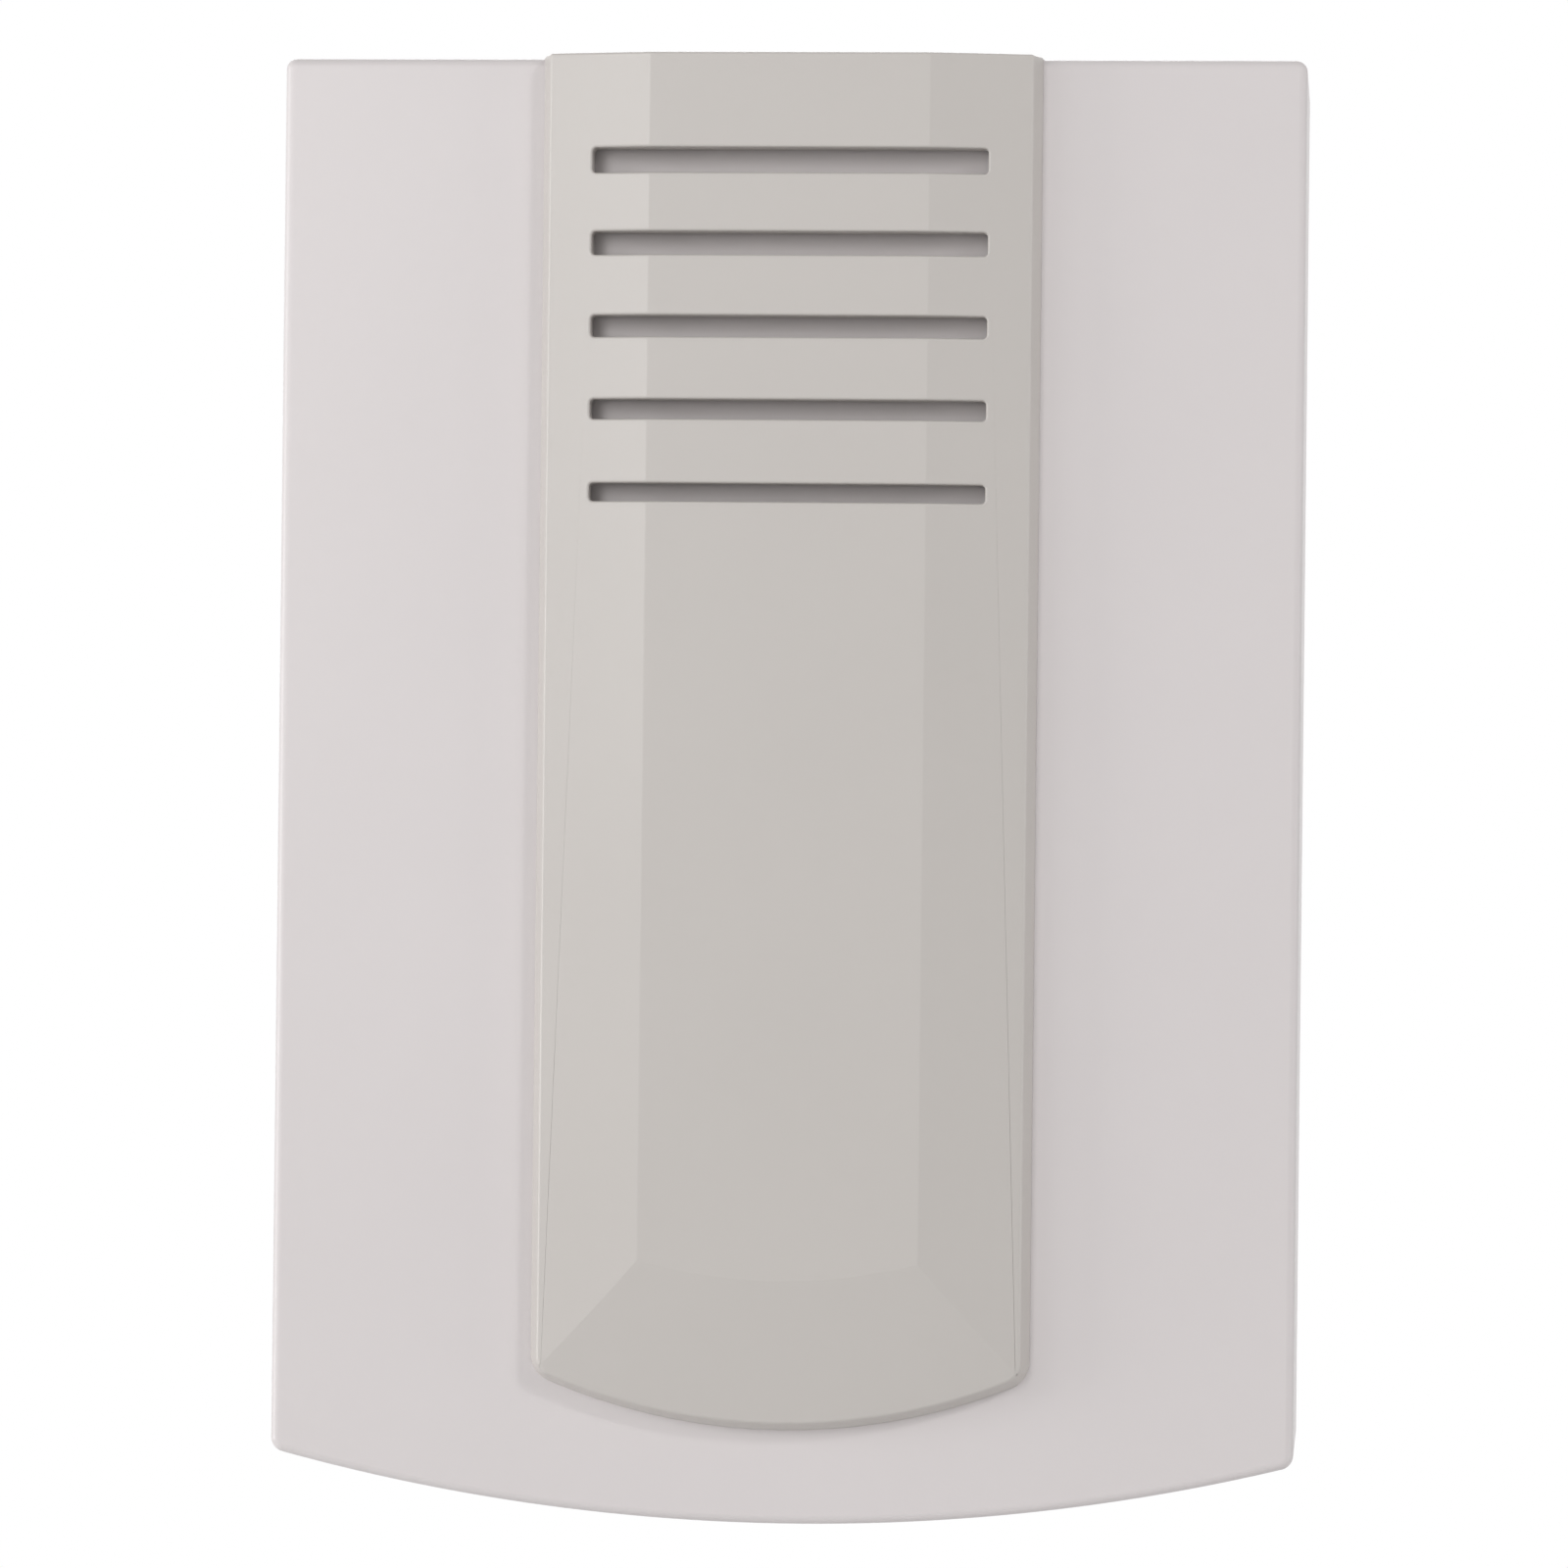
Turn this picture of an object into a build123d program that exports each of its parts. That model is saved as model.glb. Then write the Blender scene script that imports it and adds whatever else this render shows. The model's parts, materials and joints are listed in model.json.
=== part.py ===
# Two-note electromechanical door chime in a wall-mounted plastic case.
# Millimetres. X runs to the right, Z runs up and the front faces -Y.
# The origin is on the wall, behind the middle of the case.
# A depth is a distance out from the wall, along -Y. A drop is a distance down from the top of the case, or
# for the bow from the ends of the sides, and a margin is a distance up from the case's lowest point.
import os
from math import atan, cos, degrees, pi, radians, sin, sqrt, tan

from build123d import *

# Case
cover_width = 140.0
cover_height = 200.0
bow_drop = 9.0
face_depth = 44.0
cover_wall = 2.2
cover_draft = 0.5
corner_round = 1.5
inner_corner_round = 0.8
edge_round = 1.2
wall_gap = 1.0

# Grille panel on the front of the case
panel_foot_width = 68.4
panel_front_width = 65.9
panel_edge_rise = 3.5
panel_rise = 6.0
panel_wall = 2.0
panel_overtop = 0.3
panel_end_margin = 14.0
panel_end_radius = 82.0
panel_corner_round = 3.9
plateau_width = 38.2
plateau_end_margin = 33.5
plateau_end_radius = 73.0

# Sound slots in the panel, and the hidden ones in the cover behind the bars between them
slot_count = 5
slot_width = 54.0
slot_first_height = 3.46
slot_height_step = 0.235
slot_first_drop = 14.35
slot_pitch = 11.3
slot_corner_round = 0.6
hidden_slot_width = 50.0
hidden_slot_height = 4.6

# Stakes that hold the panel to the cover
stake_radius = 1.6
stake_clearance = 0.1
stake_head_radius = 2.6
stake_head_height = 1.2
stake_spacing = 30.0
stake_top_drop = 6.0
stake_slot_gap = 12.45
stake_end_gap = 24.0

# Back plate
plate_thickness = 2.5
plate_clearance = 0.4
rim_wall = 1.6
rim_depth = 9.0

# Pegs of the back plate and the sockets of the cover that grip them
peg_radius = 2.5
peg_depth = 30.0
peg_tip_chamfer = 1.0
peg_fit = 0.08
socket_wall = 2.0
socket_overlap = 8.0
peg_spacing = 80.0
peg_top_drop = 14.0
peg_bottom_margin = 18.0

# Fixings to the wall
screw_slot_width = 4.6
screw_slot_length = 10.0
screw_slot_spacing = 88.0
screw_slot_margin = 40.0
keyhole_head_radius = 4.3
keyhole_travel = 7.0

# Cable entry and its rubber grommet
cable_entry_x = 24.0
cable_entry_drop = 17.0
cable_bore_radius = 3.5
entry_hole_radius = 6.0
entry_flange_radius = 8.0
entry_front_flange = 1.5
entry_recess_depth = 1.2
entry_back_gap = 0.15
entry_fit = 0.05

# Striker
striker_depth = 23.0
plunger_radius = 4.0
plunger_chamfer = 0.3
plunger_fit = 0.08
tip_length = 10.5
tip_nose_radius = 2.6
tip_collar_length = 3.0
tip_spigot_radius = 1.8
tip_spigot_length = 4.8
tip_spigot_fit = 0.03
rest_gap = 2.5
stroke_gap = 9.5

# Solenoid
coil_inner_length = 40.8
bobbin_flange = 1.6
bobbin_flange_side = 24.0
bobbin_corner_round = 2.0
barrel_radius = 5.5
winding_radius = 11.3
winding_fit = 0.02
pole_plate_thickness = 1.6
pole_plate_side = 24.0
pole_corner_round = 3.0
pole_hole_fit = 0.05
pole_tab_width = 8.0
tab_fit = 0.05
yoke_strip_thickness = 1.6
yoke_strip_width = 24.0
yoke_strip_length = 70.0
yoke_corner_round = 3.0
yoke_screw_x = 30.0
yoke_screw_offset = 8.0

# Return spring and the clip on the plunger that it pushes
clip_thickness = 0.8
clip_radius = 6.8
clip_groove_depth = 0.6
clip_fit = 0.05
clip_mouth = 5.0
spring_radius = 5.0
spring_wire_radius = 0.3
spring_turns = 6
spring_length = 14.6
spring_end_gap = 0.05

# Tone plates and how they hang
tone_thickness = 2.0
tone_width = 28.0
tone_low_length = 140.0
tone_high_length = 124.0
tone_top_gap = 1.8
tone_corner_round = 1.5
tone_node_share = 0.224
tone_hole_radius = 4.05
tone_neck_fit = 0.05
tone_flange_radius = 5.5
tone_flange = 1.7
tone_flange_round = 0.5
tone_bore_radius = 1.6
tone_pin_radius = 1.5
tone_pin_fit = 0.02
tone_pin_head_radius = 3.4
tone_pin_head = 1.5
tone_pin_head_round = 0.7
tone_pin_proud = 1.5
tone_post_thickness = 4.0
tone_post_width = 9.0
tone_post_gap = 0.2
tone_post_over = 5.0
tone_post_rim_gap = 3.9
tone_gusset_width = 2.0
tone_gusset_depth = 12.0
tone_gusset_foot = 3.0

# Battery cradle for two columns of two C cells
cell_radius = 13.1
cell_length = 50.0
cells_in_column = 2
cell_clearance = 0.4
contact_room = 6.0
cradle_wall = 1.4
cradle_end_wall = 1.6
cradle_side_over = 3.0
cradle_end_over = 9.6
cradle_rib_width = 2.0
cradle_rib_depth = 6.0
cradle_rib_inset = 12.0
cradle_notch_width = 18.0
cradle_notch_under = 6.0
cradle_ear_length = 9.0
cradle_ear_width = 8.0
cradle_ear_root = 4.6

# Cell contacts
contact_thickness = 0.4
contact_width = 14.0
contact_under = 7.4
contact_over = 7.6
contact_bridge_width = 4.0
contact_button_radius = 3.0
contact_button_height = 0.8
tag_width = 3.0
tag_length = 3.6
tag_offset = 9.3
tag_fit = 0.3
cell_spring_base_radius = 6.5
cell_spring_tip_radius = 3.5
cell_spring_wire_radius = 0.45
cell_spring_turns = 4
cell_spring_height = 10.0

# Terminal block
terminal_count = 3
terminal_pitch = 10.0
terminal_side_wall = 0.9
terminal_block_height = 12.0
terminal_block_depth = 12.5
terminal_wire_depth = 8.0
terminal_groove_width = 1.2
terminal_groove_depth = 2.5
clamp_side = 5.2
clamp_fit = 0.1
clamp_length = 10.0
clamp_bore_radius = 1.6
clamp_screw_radius = 1.45
clamp_screw_fit = 0.05
clamp_screw_lift = 0.6
clamp_screw_head_radius = 2.2
clamp_screw_head = 2.0
clamp_screw_access_radius = 2.5
clamp_screw_slot_width = 0.6
clamp_screw_slot_depth = 0.9
terminal_ear_length = 8.5
terminal_ear_width = 8.0

# Fixing screws and the bosses that they go into
boss_radius = 3.2
boss_height = 4.0
ear_thickness = 1.6
screw_radius = 1.45
screw_length = 6.6
screw_head_radius = 2.8
screw_head = 1.9
screw_head_round = 0.8
screw_hole_fit = 0.15
screw_pilot_fit = 0.02
screw_pilot_spare = 0.4
screw_recess_width = 0.8
screw_recess_length = 3.2
screw_recess_depth = 1.1

# Shares of the spare height between the things that stand one above the other in the case
height_shares = 6

# Leads inside the case and the hooks that hold them
lead_radius = 0.6
lead_pair_offset = 0.65
lead_lift = 0.1
lead_end_past_screw = 1.5
lead_rise = 1.2
lead_exit_run = 6.0
lead_hook_run = 8.0
lead_turn = 4.5
lead_sway = 1.5
coil_lead_offset = 2.5
hook_x = 42.0
hook_gap = 0.4
hook_wall = 1.2
hook_width = 4.0

# Places worked out from the sizes above
cover_top = cover_height / 2
cover_foot = -cover_height / 2
cover_half = cover_width / 2
bow_radius = (cover_half**2 + bow_drop**2) / (2 * bow_drop)
bow_centre = cover_foot + bow_radius
face_inside = face_depth - cover_wall
plate_inset = cover_wall + plate_clearance
panel_top = cover_top + panel_overtop
panel_end = cover_foot + panel_end_margin
panel_front = face_depth + panel_rise
plateau_end = cover_foot + plateau_end_margin
plateau_half = plateau_width / 2
slot_zs = [cover_top - slot_first_drop - slot_pitch * i for i in range(slot_count)]
stake_low = slot_zs[-1] - stake_slot_gap
stake_end = panel_end + stake_end_gap
stake_zs = (cover_top - stake_top_drop, stake_low, (stake_low + stake_end) / 2, stake_end)
peg_zs = (cover_top - peg_top_drop, cover_foot + peg_bottom_margin)
peg_places = [(side * peg_spacing / 2, z) for side in (-1, 1) for z in peg_zs]
cable_entry_z = cover_top - cable_entry_drop
rim_inset = plate_inset + rim_wall
rim_inside = cover_half - rim_inset
rim_top = cover_top - rim_inset
tone_centre_z = rim_top - tone_top_gap - tone_low_length / 2
tone_post_outer = rim_inside - tone_post_rim_gap
tone_post_inner = tone_post_outer - tone_post_thickness
tone_outer = tone_post_inner - tone_post_gap - tone_flange
tone_inner = tone_outer - tone_thickness
coil_half = coil_inner_length / 2
bobbin_half = coil_half + bobbin_flange
pole_outer = bobbin_half + pole_plate_thickness
striker_right = tone_inner - rest_gap
striker_left = stroke_gap - tone_inner
plunger_right = striker_right - tip_length
plunger_left = striker_left + tip_length
clip_x = pole_outer + spring_length
boss_top = plate_thickness + boss_height
ear_top = boss_top + ear_thickness
strip_top = boss_top + yoke_strip_thickness
channel_radius = cell_radius + cell_clearance
channel_outer = channel_radius + cradle_wall
channel_x = channel_radius + cradle_wall / 2
channel_depth = plate_thickness + channel_outer
cradle_reach = channel_x + channel_outer
bay_length = cells_in_column * cell_length + contact_room
keyhole_neck_radius = screw_slot_width / 2

# Up the case stand the cradle, the solenoid, the terminal block and the keyhole. The spare height is shared
# out between them and the rim, with a double share under the terminal block, where the leads come up.
rim_foot = bow_centre - sqrt((bow_radius - rim_inset) ** 2 - cradle_reach**2)
cradle_height = bay_length + 2 * cradle_end_wall
keyhole_height = keyhole_head_radius + keyhole_travel + keyhole_neck_radius
stacked = cradle_height + yoke_strip_width + terminal_block_height + keyhole_height
share = (rim_top - rim_foot - stacked) / height_shares
bay_bottom = rim_foot + share + cradle_end_wall
bay_top = bay_bottom + bay_length
bay_middle = (bay_top + bay_bottom) / 2
striker_z = bay_top + cradle_end_wall + share + yoke_strip_width / 2
terminal_z = striker_z + yoke_strip_width / 2 + 2 * share
keyhole_z = terminal_z + terminal_block_height + share + keyhole_head_radius
contact_near = channel_depth - contact_under
contact_far = channel_depth + contact_over
tag_top = bay_top + tag_length
terminal_middle = terminal_z + terminal_block_height / 2
terminal_front = plate_thickness + terminal_block_depth
terminal_half = terminal_count * terminal_pitch / 2 + terminal_side_wall
terminal_xs = [terminal_pitch * (i - (terminal_count - 1) / 2) for i in range(terminal_count)]
cradle_screw_x = cradle_reach + cradle_ear_length / 2
terminal_screw_x = terminal_half + terminal_ear_length / 2
fixing_places = [
    (-yoke_screw_x, striker_z + yoke_screw_offset),
    (yoke_screw_x, striker_z - yoke_screw_offset),
    (-cradle_screw_x, bay_middle),
    (cradle_screw_x, bay_middle),
    (-terminal_screw_x, terminal_middle),
    (terminal_screw_x, terminal_middle),
]


def at_depth(depth):
    """The plane in front of the wall whose local x and y are X and Z."""
    return Plane.XZ.offset(depth)


def slab(sketch, near, far, taper=0.0):
    """An outline drawn on the wall, given thickness between two depths."""
    return extrude(at_depth(near) * sketch, amount=far - near, taper=taper)


def block(x0, x1, near, far, z0, z1):
    centre = Pos((x0 + x1) / 2, -(near + far) / 2, (z0 + z1) / 2)
    return centre * Box(abs(x1 - x0), far - near, abs(z1 - z0))


def rod_x(radius, x0, x1, depth, z):
    return Pos((x0 + x1) / 2, -depth, z) * Rot(0, 90, 0) * Cylinder(radius, abs(x1 - x0))


def rod_y(radius, near, far, x, z):
    return Pos(x, -(near + far) / 2, z) * Rot(90, 0, 0) * Cylinder(radius, far - near)


def rod_z(radius, z0, z1, x, depth):
    return Pos(x, -depth, (z0 + z1) / 2) * Cylinder(radius, abs(z1 - z0))


def bowed_outline(half, top, reach, centre, corner):
    """A rectangle whose lower edge is an arc that bulges down."""
    corner_z = centre - sqrt(reach**2 - half**2)
    sides = Polyline((half, corner_z), (half, top), (-half, top), (-half, corner_z))
    bow = ThreePointArc((-half, corner_z), (0, centre - reach), (half, corner_z))
    face = make_face([*sides.edges(), *bow.edges()])
    return fillet(face.vertices(), corner)


def case_outline(inset, corner):
    """The case's outline as seen from the front, moved in by the inset."""
    reach = bow_radius - inset
    return bowed_outline(cover_half - inset, cover_top - inset, reach, bow_centre, corner)


def panel_ridge(inset):
    """A long roof with the panel's plateau and the two long facets that fall away from it."""
    slope = (panel_rise - panel_edge_rise) / (panel_front_width / 2 - plateau_half)
    front = panel_front - inset
    reach = panel_foot_width / 2
    eaves = front - slope * (reach - plateau_half)
    profile = Polyline(
        (-reach, -face_depth),
        (reach, -face_depth),
        (reach, -eaves),
        (plateau_half, -front),
        (-plateau_half, -front),
        (-reach, -eaves),
        close=True,
    )
    length = panel_top - inset - cover_foot
    return Pos(0, 0, cover_foot) * extrude(make_face(profile.edges()), amount=length)


def panel_lower_cone(inset):
    """The slanted cone whose side is the panel's lower facet, with a block above it."""
    fall = panel_rise - panel_edge_rise

    def ring(depth):
        share = (panel_front - inset - depth) / fall
        radius = plateau_end_radius + (panel_end_radius - plateau_end_radius) * share - inset
        lowest = plateau_end + (panel_end - plateau_end) * share + inset
        return at_depth(depth) * Pos(0, lowest + radius) * Circle(radius)

    cone = loft([ring(face_depth), ring(panel_front)], ruled=True)
    reach = panel_foot_width / 2
    return cone + block(-reach, reach, face_depth, panel_front, 0, panel_top)


def panel_form(inset):
    """The panel's faceted body, with every face moved in by the inset."""
    draft = (panel_foot_width - panel_front_width) / 2 / panel_edge_rise
    half = panel_foot_width / 2 - inset
    foot_reach = panel_end_radius + draft * panel_edge_rise - inset
    foot_centre = panel_end + panel_end_radius
    above = panel_top + panel_rise
    foot = bowed_outline(half, above, foot_reach, foot_centre, panel_corner_round)
    drafted = slab(foot, face_depth, panel_front - inset, taper=degrees(atan(draft)))
    return drafted & panel_ridge(inset) & panel_lower_cone(inset)


def make_grille_panel():
    panel = panel_form(0) - panel_form(panel_wall)
    for i, z in enumerate(slot_zs):
        height = slot_first_height - slot_height_step * i
        slot = RectangleRounded(slot_width, height, slot_corner_round)
        panel -= slab(Pos(0, z) * slot, face_depth, panel_front)
    head_near = face_inside - stake_head_height
    for z in stake_zs:
        for x in (-stake_spacing / 2, stake_spacing / 2):
            panel += rod_y(stake_radius, face_inside, panel_front - panel_wall, x, z)
            panel += rod_y(stake_head_radius, head_near, face_inside, x, z)
    return panel


def make_front_cover():
    flare = (face_depth - wall_gap) * tan(radians(cover_draft))
    outside = slab(case_outline(-flare, corner_round), wall_gap, face_depth, cover_draft)
    outside = fillet(outside.faces().sort_by(Axis.Y)[0].edges(), edge_round)
    seat_half = panel_foot_width / 2
    seat_near = face_depth - edge_round
    outside += block(-seat_half, seat_half, seat_near, face_depth, cover_top - edge_round, cover_top)
    inside_outline = case_outline(cover_wall - flare, inner_corner_round)
    cover = outside - slab(inside_outline, wall_gap, face_inside, cover_draft)
    for upper, lower in zip(slot_zs, slot_zs[1:]):
        slot = RectangleRounded(hidden_slot_width, hidden_slot_height, slot_corner_round)
        cover -= slab(Pos(0, (upper + lower) / 2) * slot, face_inside, face_depth)
    for z in stake_zs:
        for x in (-stake_spacing / 2, stake_spacing / 2):
            cover -= rod_y(stake_radius + stake_clearance, face_inside, face_depth, x, z)
    bore_radius = peg_radius + peg_fit
    mouth = peg_depth - socket_overlap
    for x, z in peg_places:
        cover += rod_y(bore_radius + socket_wall, mouth, face_inside, x, z)
        cover -= rod_y(bore_radius, mouth, face_inside, x, z)
    return cover


def make_back_plate():
    outline = case_outline(plate_inset, inner_corner_round)
    plate = slab(outline, 0, rim_depth)
    plate -= slab(case_outline(rim_inset, inner_corner_round), plate_thickness, rim_depth)
    for x, z in peg_places:
        peg = rod_y(peg_radius, plate_thickness, peg_depth, x, z)
        plate += chamfer(peg.faces().sort_by(Axis.Y)[0].edges(), peg_tip_chamfer)
    for x, z in fixing_places:
        plate += rod_y(boss_radius, plate_thickness, boss_top, x, z)
        pilot_end = ear_top - screw_length - screw_pilot_spare
        plate -= rod_y(screw_radius + screw_pilot_fit, pilot_end, boss_top, x, z)
    for side, length in ((-1, tone_high_length), (1, tone_low_length)):
        for z in tone_node_zs(length):
            plate += tone_post(side, z)
    for side in (-1, 1):
        plate += lead_hook(side)
    return plate - wall_fixings() - cable_entry()


def tone_post(side, z):
    """An upright with a gusset to the rim, drilled for the pin that a tone plate hangs on."""
    half = tone_post_width / 2
    far = striker_depth + tone_post_over
    post = block(side * tone_post_inner, side * tone_post_outer, plate_thickness, far, z - half, z + half)
    post -= rod_x(
        tone_pin_radius + tone_pin_fit,
        side * tone_post_inner,
        side * tone_post_outer,
        striker_depth,
        z,
    )
    profile = Polyline(
        (side * tone_post_outer, -plate_thickness),
        (side * rim_inside, -plate_thickness),
        (side * rim_inside, -plate_thickness - tone_gusset_foot),
        (side * tone_post_outer, -plate_thickness - tone_gusset_depth),
        close=True,
    )
    low = z - tone_gusset_width / 2
    gusset = Pos(0, 0, low) * extrude(make_face(profile.edges()), amount=tone_gusset_width, dir=(0, 0, 1))
    return post + gusset


def lead_hook(side):
    """A small hook moulded on the plate that keeps a lead down."""
    inner = hook_x + lead_radius + hook_gap
    top = plate_thickness + 2 * (lead_radius + hook_gap)
    z0 = striker_z - hook_width / 2
    z1 = striker_z + hook_width / 2
    stem = block(side * inner, side * (inner + hook_wall), plate_thickness, top + hook_wall, z0, z1)
    arm_end = side * (hook_x - lead_radius - hook_gap)
    return stem + block(arm_end, side * (inner + hook_wall), top, top + hook_wall, z0, z1)


def wall_fixings():
    """Two slots low down and a keyhole near the top, as cutters."""
    z = cover_foot + screw_slot_margin
    radius = screw_slot_width / 2
    reach = screw_slot_length / 2 - radius
    cutters = Part()
    for x in (-screw_slot_spacing / 2, screw_slot_spacing / 2):
        cutters += block(x - reach, x + reach, 0, plate_thickness, z - radius, z + radius)
        cutters += rod_y(radius, 0, plate_thickness, x - reach, z)
        cutters += rod_y(radius, 0, plate_thickness, x + reach, z)
    neck_z = keyhole_z + keyhole_travel
    neck = keyhole_neck_radius
    cutters += rod_y(keyhole_head_radius, 0, plate_thickness, 0, keyhole_z)
    cutters += block(-neck, neck, 0, plate_thickness, keyhole_z, neck_z)
    return cutters + rod_y(neck, 0, plate_thickness, 0, neck_z)


def cable_entry():
    """The hole for the grommet, with a recess for its rear flange, as a cutter."""
    hole = rod_y(entry_hole_radius, 0, plate_thickness, cable_entry_x, cable_entry_z)
    recess_radius = entry_flange_radius + entry_fit
    return hole + rod_y(recess_radius, 0, entry_recess_depth, cable_entry_x, cable_entry_z)


def make_cable_grommet():
    far = plate_thickness + entry_front_flange
    place = (cable_entry_x, cable_entry_z)
    grommet = rod_y(entry_flange_radius, entry_back_gap, entry_recess_depth, *place)
    grommet += rod_y(entry_hole_radius - entry_fit, entry_recess_depth, plate_thickness, *place)
    grommet += rod_y(entry_flange_radius, plate_thickness, far, *place)
    return grommet - rod_y(cable_bore_radius, entry_back_gap, far, *place)


def tone_node_zs(length):
    """The heights of a free bar's two still points, where it is carried."""
    reach = length * (0.5 - tone_node_share)
    return (tone_centre_z - reach, tone_centre_z + reach)


def make_tone_plate(side, length):
    near = striker_depth - tone_width / 2
    far = striker_depth + tone_width / 2
    low = tone_centre_z - length / 2
    plate = block(side * tone_inner, side * tone_outer, near, far, low, low + length)
    plate = fillet(plate.edges().filter_by(Axis.X), tone_corner_round)
    for z in tone_node_zs(length):
        plate -= rod_x(tone_hole_radius, side * tone_inner, side * tone_outer, striker_depth, z)
    return plate


def tone_hanging_places():
    """The side and height of each of the four pins."""
    lengths = ((-1, tone_high_length), (1, tone_low_length))
    return [(side, z) for side, length in lengths for z in tone_node_zs(length)]


def make_tone_grommet(side, z):
    neck_radius = tone_hole_radius - tone_neck_fit
    inner_end = side * (tone_inner - tone_flange)
    outer_end = side * (tone_outer + tone_flange)
    inner = rod_x(tone_flange_radius, inner_end, side * tone_inner, striker_depth, z)
    outer = rod_x(tone_flange_radius, side * tone_outer, outer_end, striker_depth, z)
    flanges = [fillet(f.edges().filter_by(GeomType.CIRCLE), tone_flange_round) for f in (inner, outer)]
    grommet = rod_x(neck_radius, side * tone_inner, side * tone_outer, striker_depth, z) + flanges
    return grommet - rod_x(tone_bore_radius, inner_end, outer_end, striker_depth, z)


def make_tone_pin(side, z):
    seat = tone_inner - tone_flange
    head_end = seat - tone_pin_head
    tail = tone_post_outer + tone_pin_proud
    head = rod_x(tone_pin_head_radius, side * head_end, side * seat, striker_depth, z)
    rim = head.edges().filter_by(GeomType.CIRCLE).sort_by(Axis.X)[0 if side > 0 else -1]
    head = fillet(rim, tone_pin_head_round)
    return head + rod_x(tone_pin_radius, side * seat, side * tail, striker_depth, z)


def make_bobbin():
    bobbin = rod_x(barrel_radius, -pole_outer, pole_outer, striker_depth, striker_z)
    half = bobbin_flange_side / 2
    for side in (-1, 1):
        flange = block(
            side * coil_half,
            side * bobbin_half,
            striker_depth - half,
            striker_depth + half,
            striker_z - half,
            striker_z + half,
        )
        bobbin += fillet(flange.edges().filter_by(Axis.X), bobbin_corner_round)
    bore_radius = plunger_radius + plunger_fit
    return bobbin - rod_x(bore_radius, -pole_outer, pole_outer, striker_depth, striker_z)


def make_winding():
    winding = rod_x(winding_radius, -coil_half, coil_half, striker_depth, striker_z)
    inner_radius = barrel_radius + winding_fit
    return winding - rod_x(inner_radius, -coil_half, coil_half, striker_depth, striker_z)


def make_pole_plate(side):
    half = pole_plate_side / 2
    far = striker_depth + half
    inner = side * bobbin_half
    outer = side * pole_outer
    plate = block(inner, outer, strip_top, far, striker_z - half, striker_z + half)
    corners = plate.edges().filter_by(Axis.X).sort_by(Axis.Y)[:2]
    plate = fillet(corners, pole_corner_round)
    tab = pole_tab_width / 2
    plate += block(inner, outer, boss_top, strip_top, striker_z - tab, striker_z + tab)
    return plate - rod_x(barrel_radius + pole_hole_fit, inner, outer, striker_depth, striker_z)


def make_yoke_strip():
    half = yoke_strip_length / 2
    width = yoke_strip_width / 2
    strip = block(-half, half, boss_top, strip_top, striker_z - width, striker_z + width)
    strip = fillet(strip.edges().filter_by(Axis.Y), yoke_corner_round)
    tab = pole_tab_width / 2 + tab_fit
    for side in (-1, 1):
        inner = side * (bobbin_half - tab_fit)
        outer = side * (pole_outer + tab_fit)
        strip -= block(inner, outer, boss_top, strip_top, striker_z - tab, striker_z + tab)
    for x, z in fixing_places[:2]:
        strip -= rod_y(screw_radius + screw_hole_fit, boss_top, strip_top, x, z)
    return strip


def make_plunger():
    plunger = rod_x(plunger_radius, plunger_left, plunger_right, striker_depth, striker_z)
    plunger = chamfer(plunger.edges().filter_by(GeomType.CIRCLE), plunger_chamfer)
    hole_end = tip_spigot_length + plunger_chamfer
    for end, inward in ((plunger_left, 1), (plunger_right, -1)):
        plunger -= rod_x(tip_spigot_radius, end, end + inward * hole_end, striker_depth, striker_z)
    groove_start = clip_x - clip_fit
    groove_end = clip_x + clip_thickness + clip_fit
    groove = rod_x(plunger_radius + clip_fit, groove_start, groove_end, striker_depth, striker_z)
    core_radius = plunger_radius - clip_groove_depth
    groove -= rod_x(core_radius, groove_start, groove_end, striker_depth, striker_z)
    return plunger - groove


def make_striker_tip(side, end):
    """A nylon tip that plugs into the plunger's end and tapers to a round nose."""
    spigot = tip_spigot_radius - tip_spigot_fit
    nose_start = tip_length - tip_nose_radius
    quarter = tip_nose_radius * cos(radians(45))
    outline = Polyline(
        (tip_length, 0),
        (-tip_spigot_length, 0),
        (-tip_spigot_length, spigot),
        (0, spigot),
        (0, plunger_radius),
        (tip_collar_length, plunger_radius),
        (nose_start, tip_nose_radius),
    )
    nose = ThreePointArc(
        (nose_start, tip_nose_radius),
        (nose_start + quarter, quarter),
        (tip_length, 0),
    )
    tip = revolve(make_face([*outline.edges(), *nose.edges()]), Axis.X)
    turn = 0 if side > 0 else 180
    return Pos(end, -striker_depth, striker_z) * Rot(0, turn, 0) * tip


def make_spring_clip():
    far_x = clip_x + clip_thickness
    clip = rod_x(clip_radius, clip_x, far_x, striker_depth, striker_z)
    inner_radius = plunger_radius - clip_groove_depth + clip_fit
    clip -= rod_x(inner_radius, clip_x, far_x, striker_depth, striker_z)
    half = clip_mouth / 2
    far = striker_depth + clip_radius
    return clip - block(clip_x, far_x, striker_depth, far, striker_z - half, striker_z + half)


def biarc(start, start_tangent, end, end_tangent):
    """Two arcs that join two points and meet both tangents."""
    chord = end - start
    both = start_tangent + end_tangent
    turn = 2 * (1 - start_tangent.dot(end_tangent))
    along = chord.dot(both)
    reach = (sqrt(along**2 + turn * chord.dot(chord)) - along) / turn
    start_arm = start + start_tangent * reach
    end_arm = end - end_tangent * reach
    middle = (start_arm + end_arm) * 0.5
    first = Edge.make_tangent_arc(start, start_tangent, middle)
    second = Edge.make_tangent_arc(middle, end_arm - start_arm, end)
    return [first, second]


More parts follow.
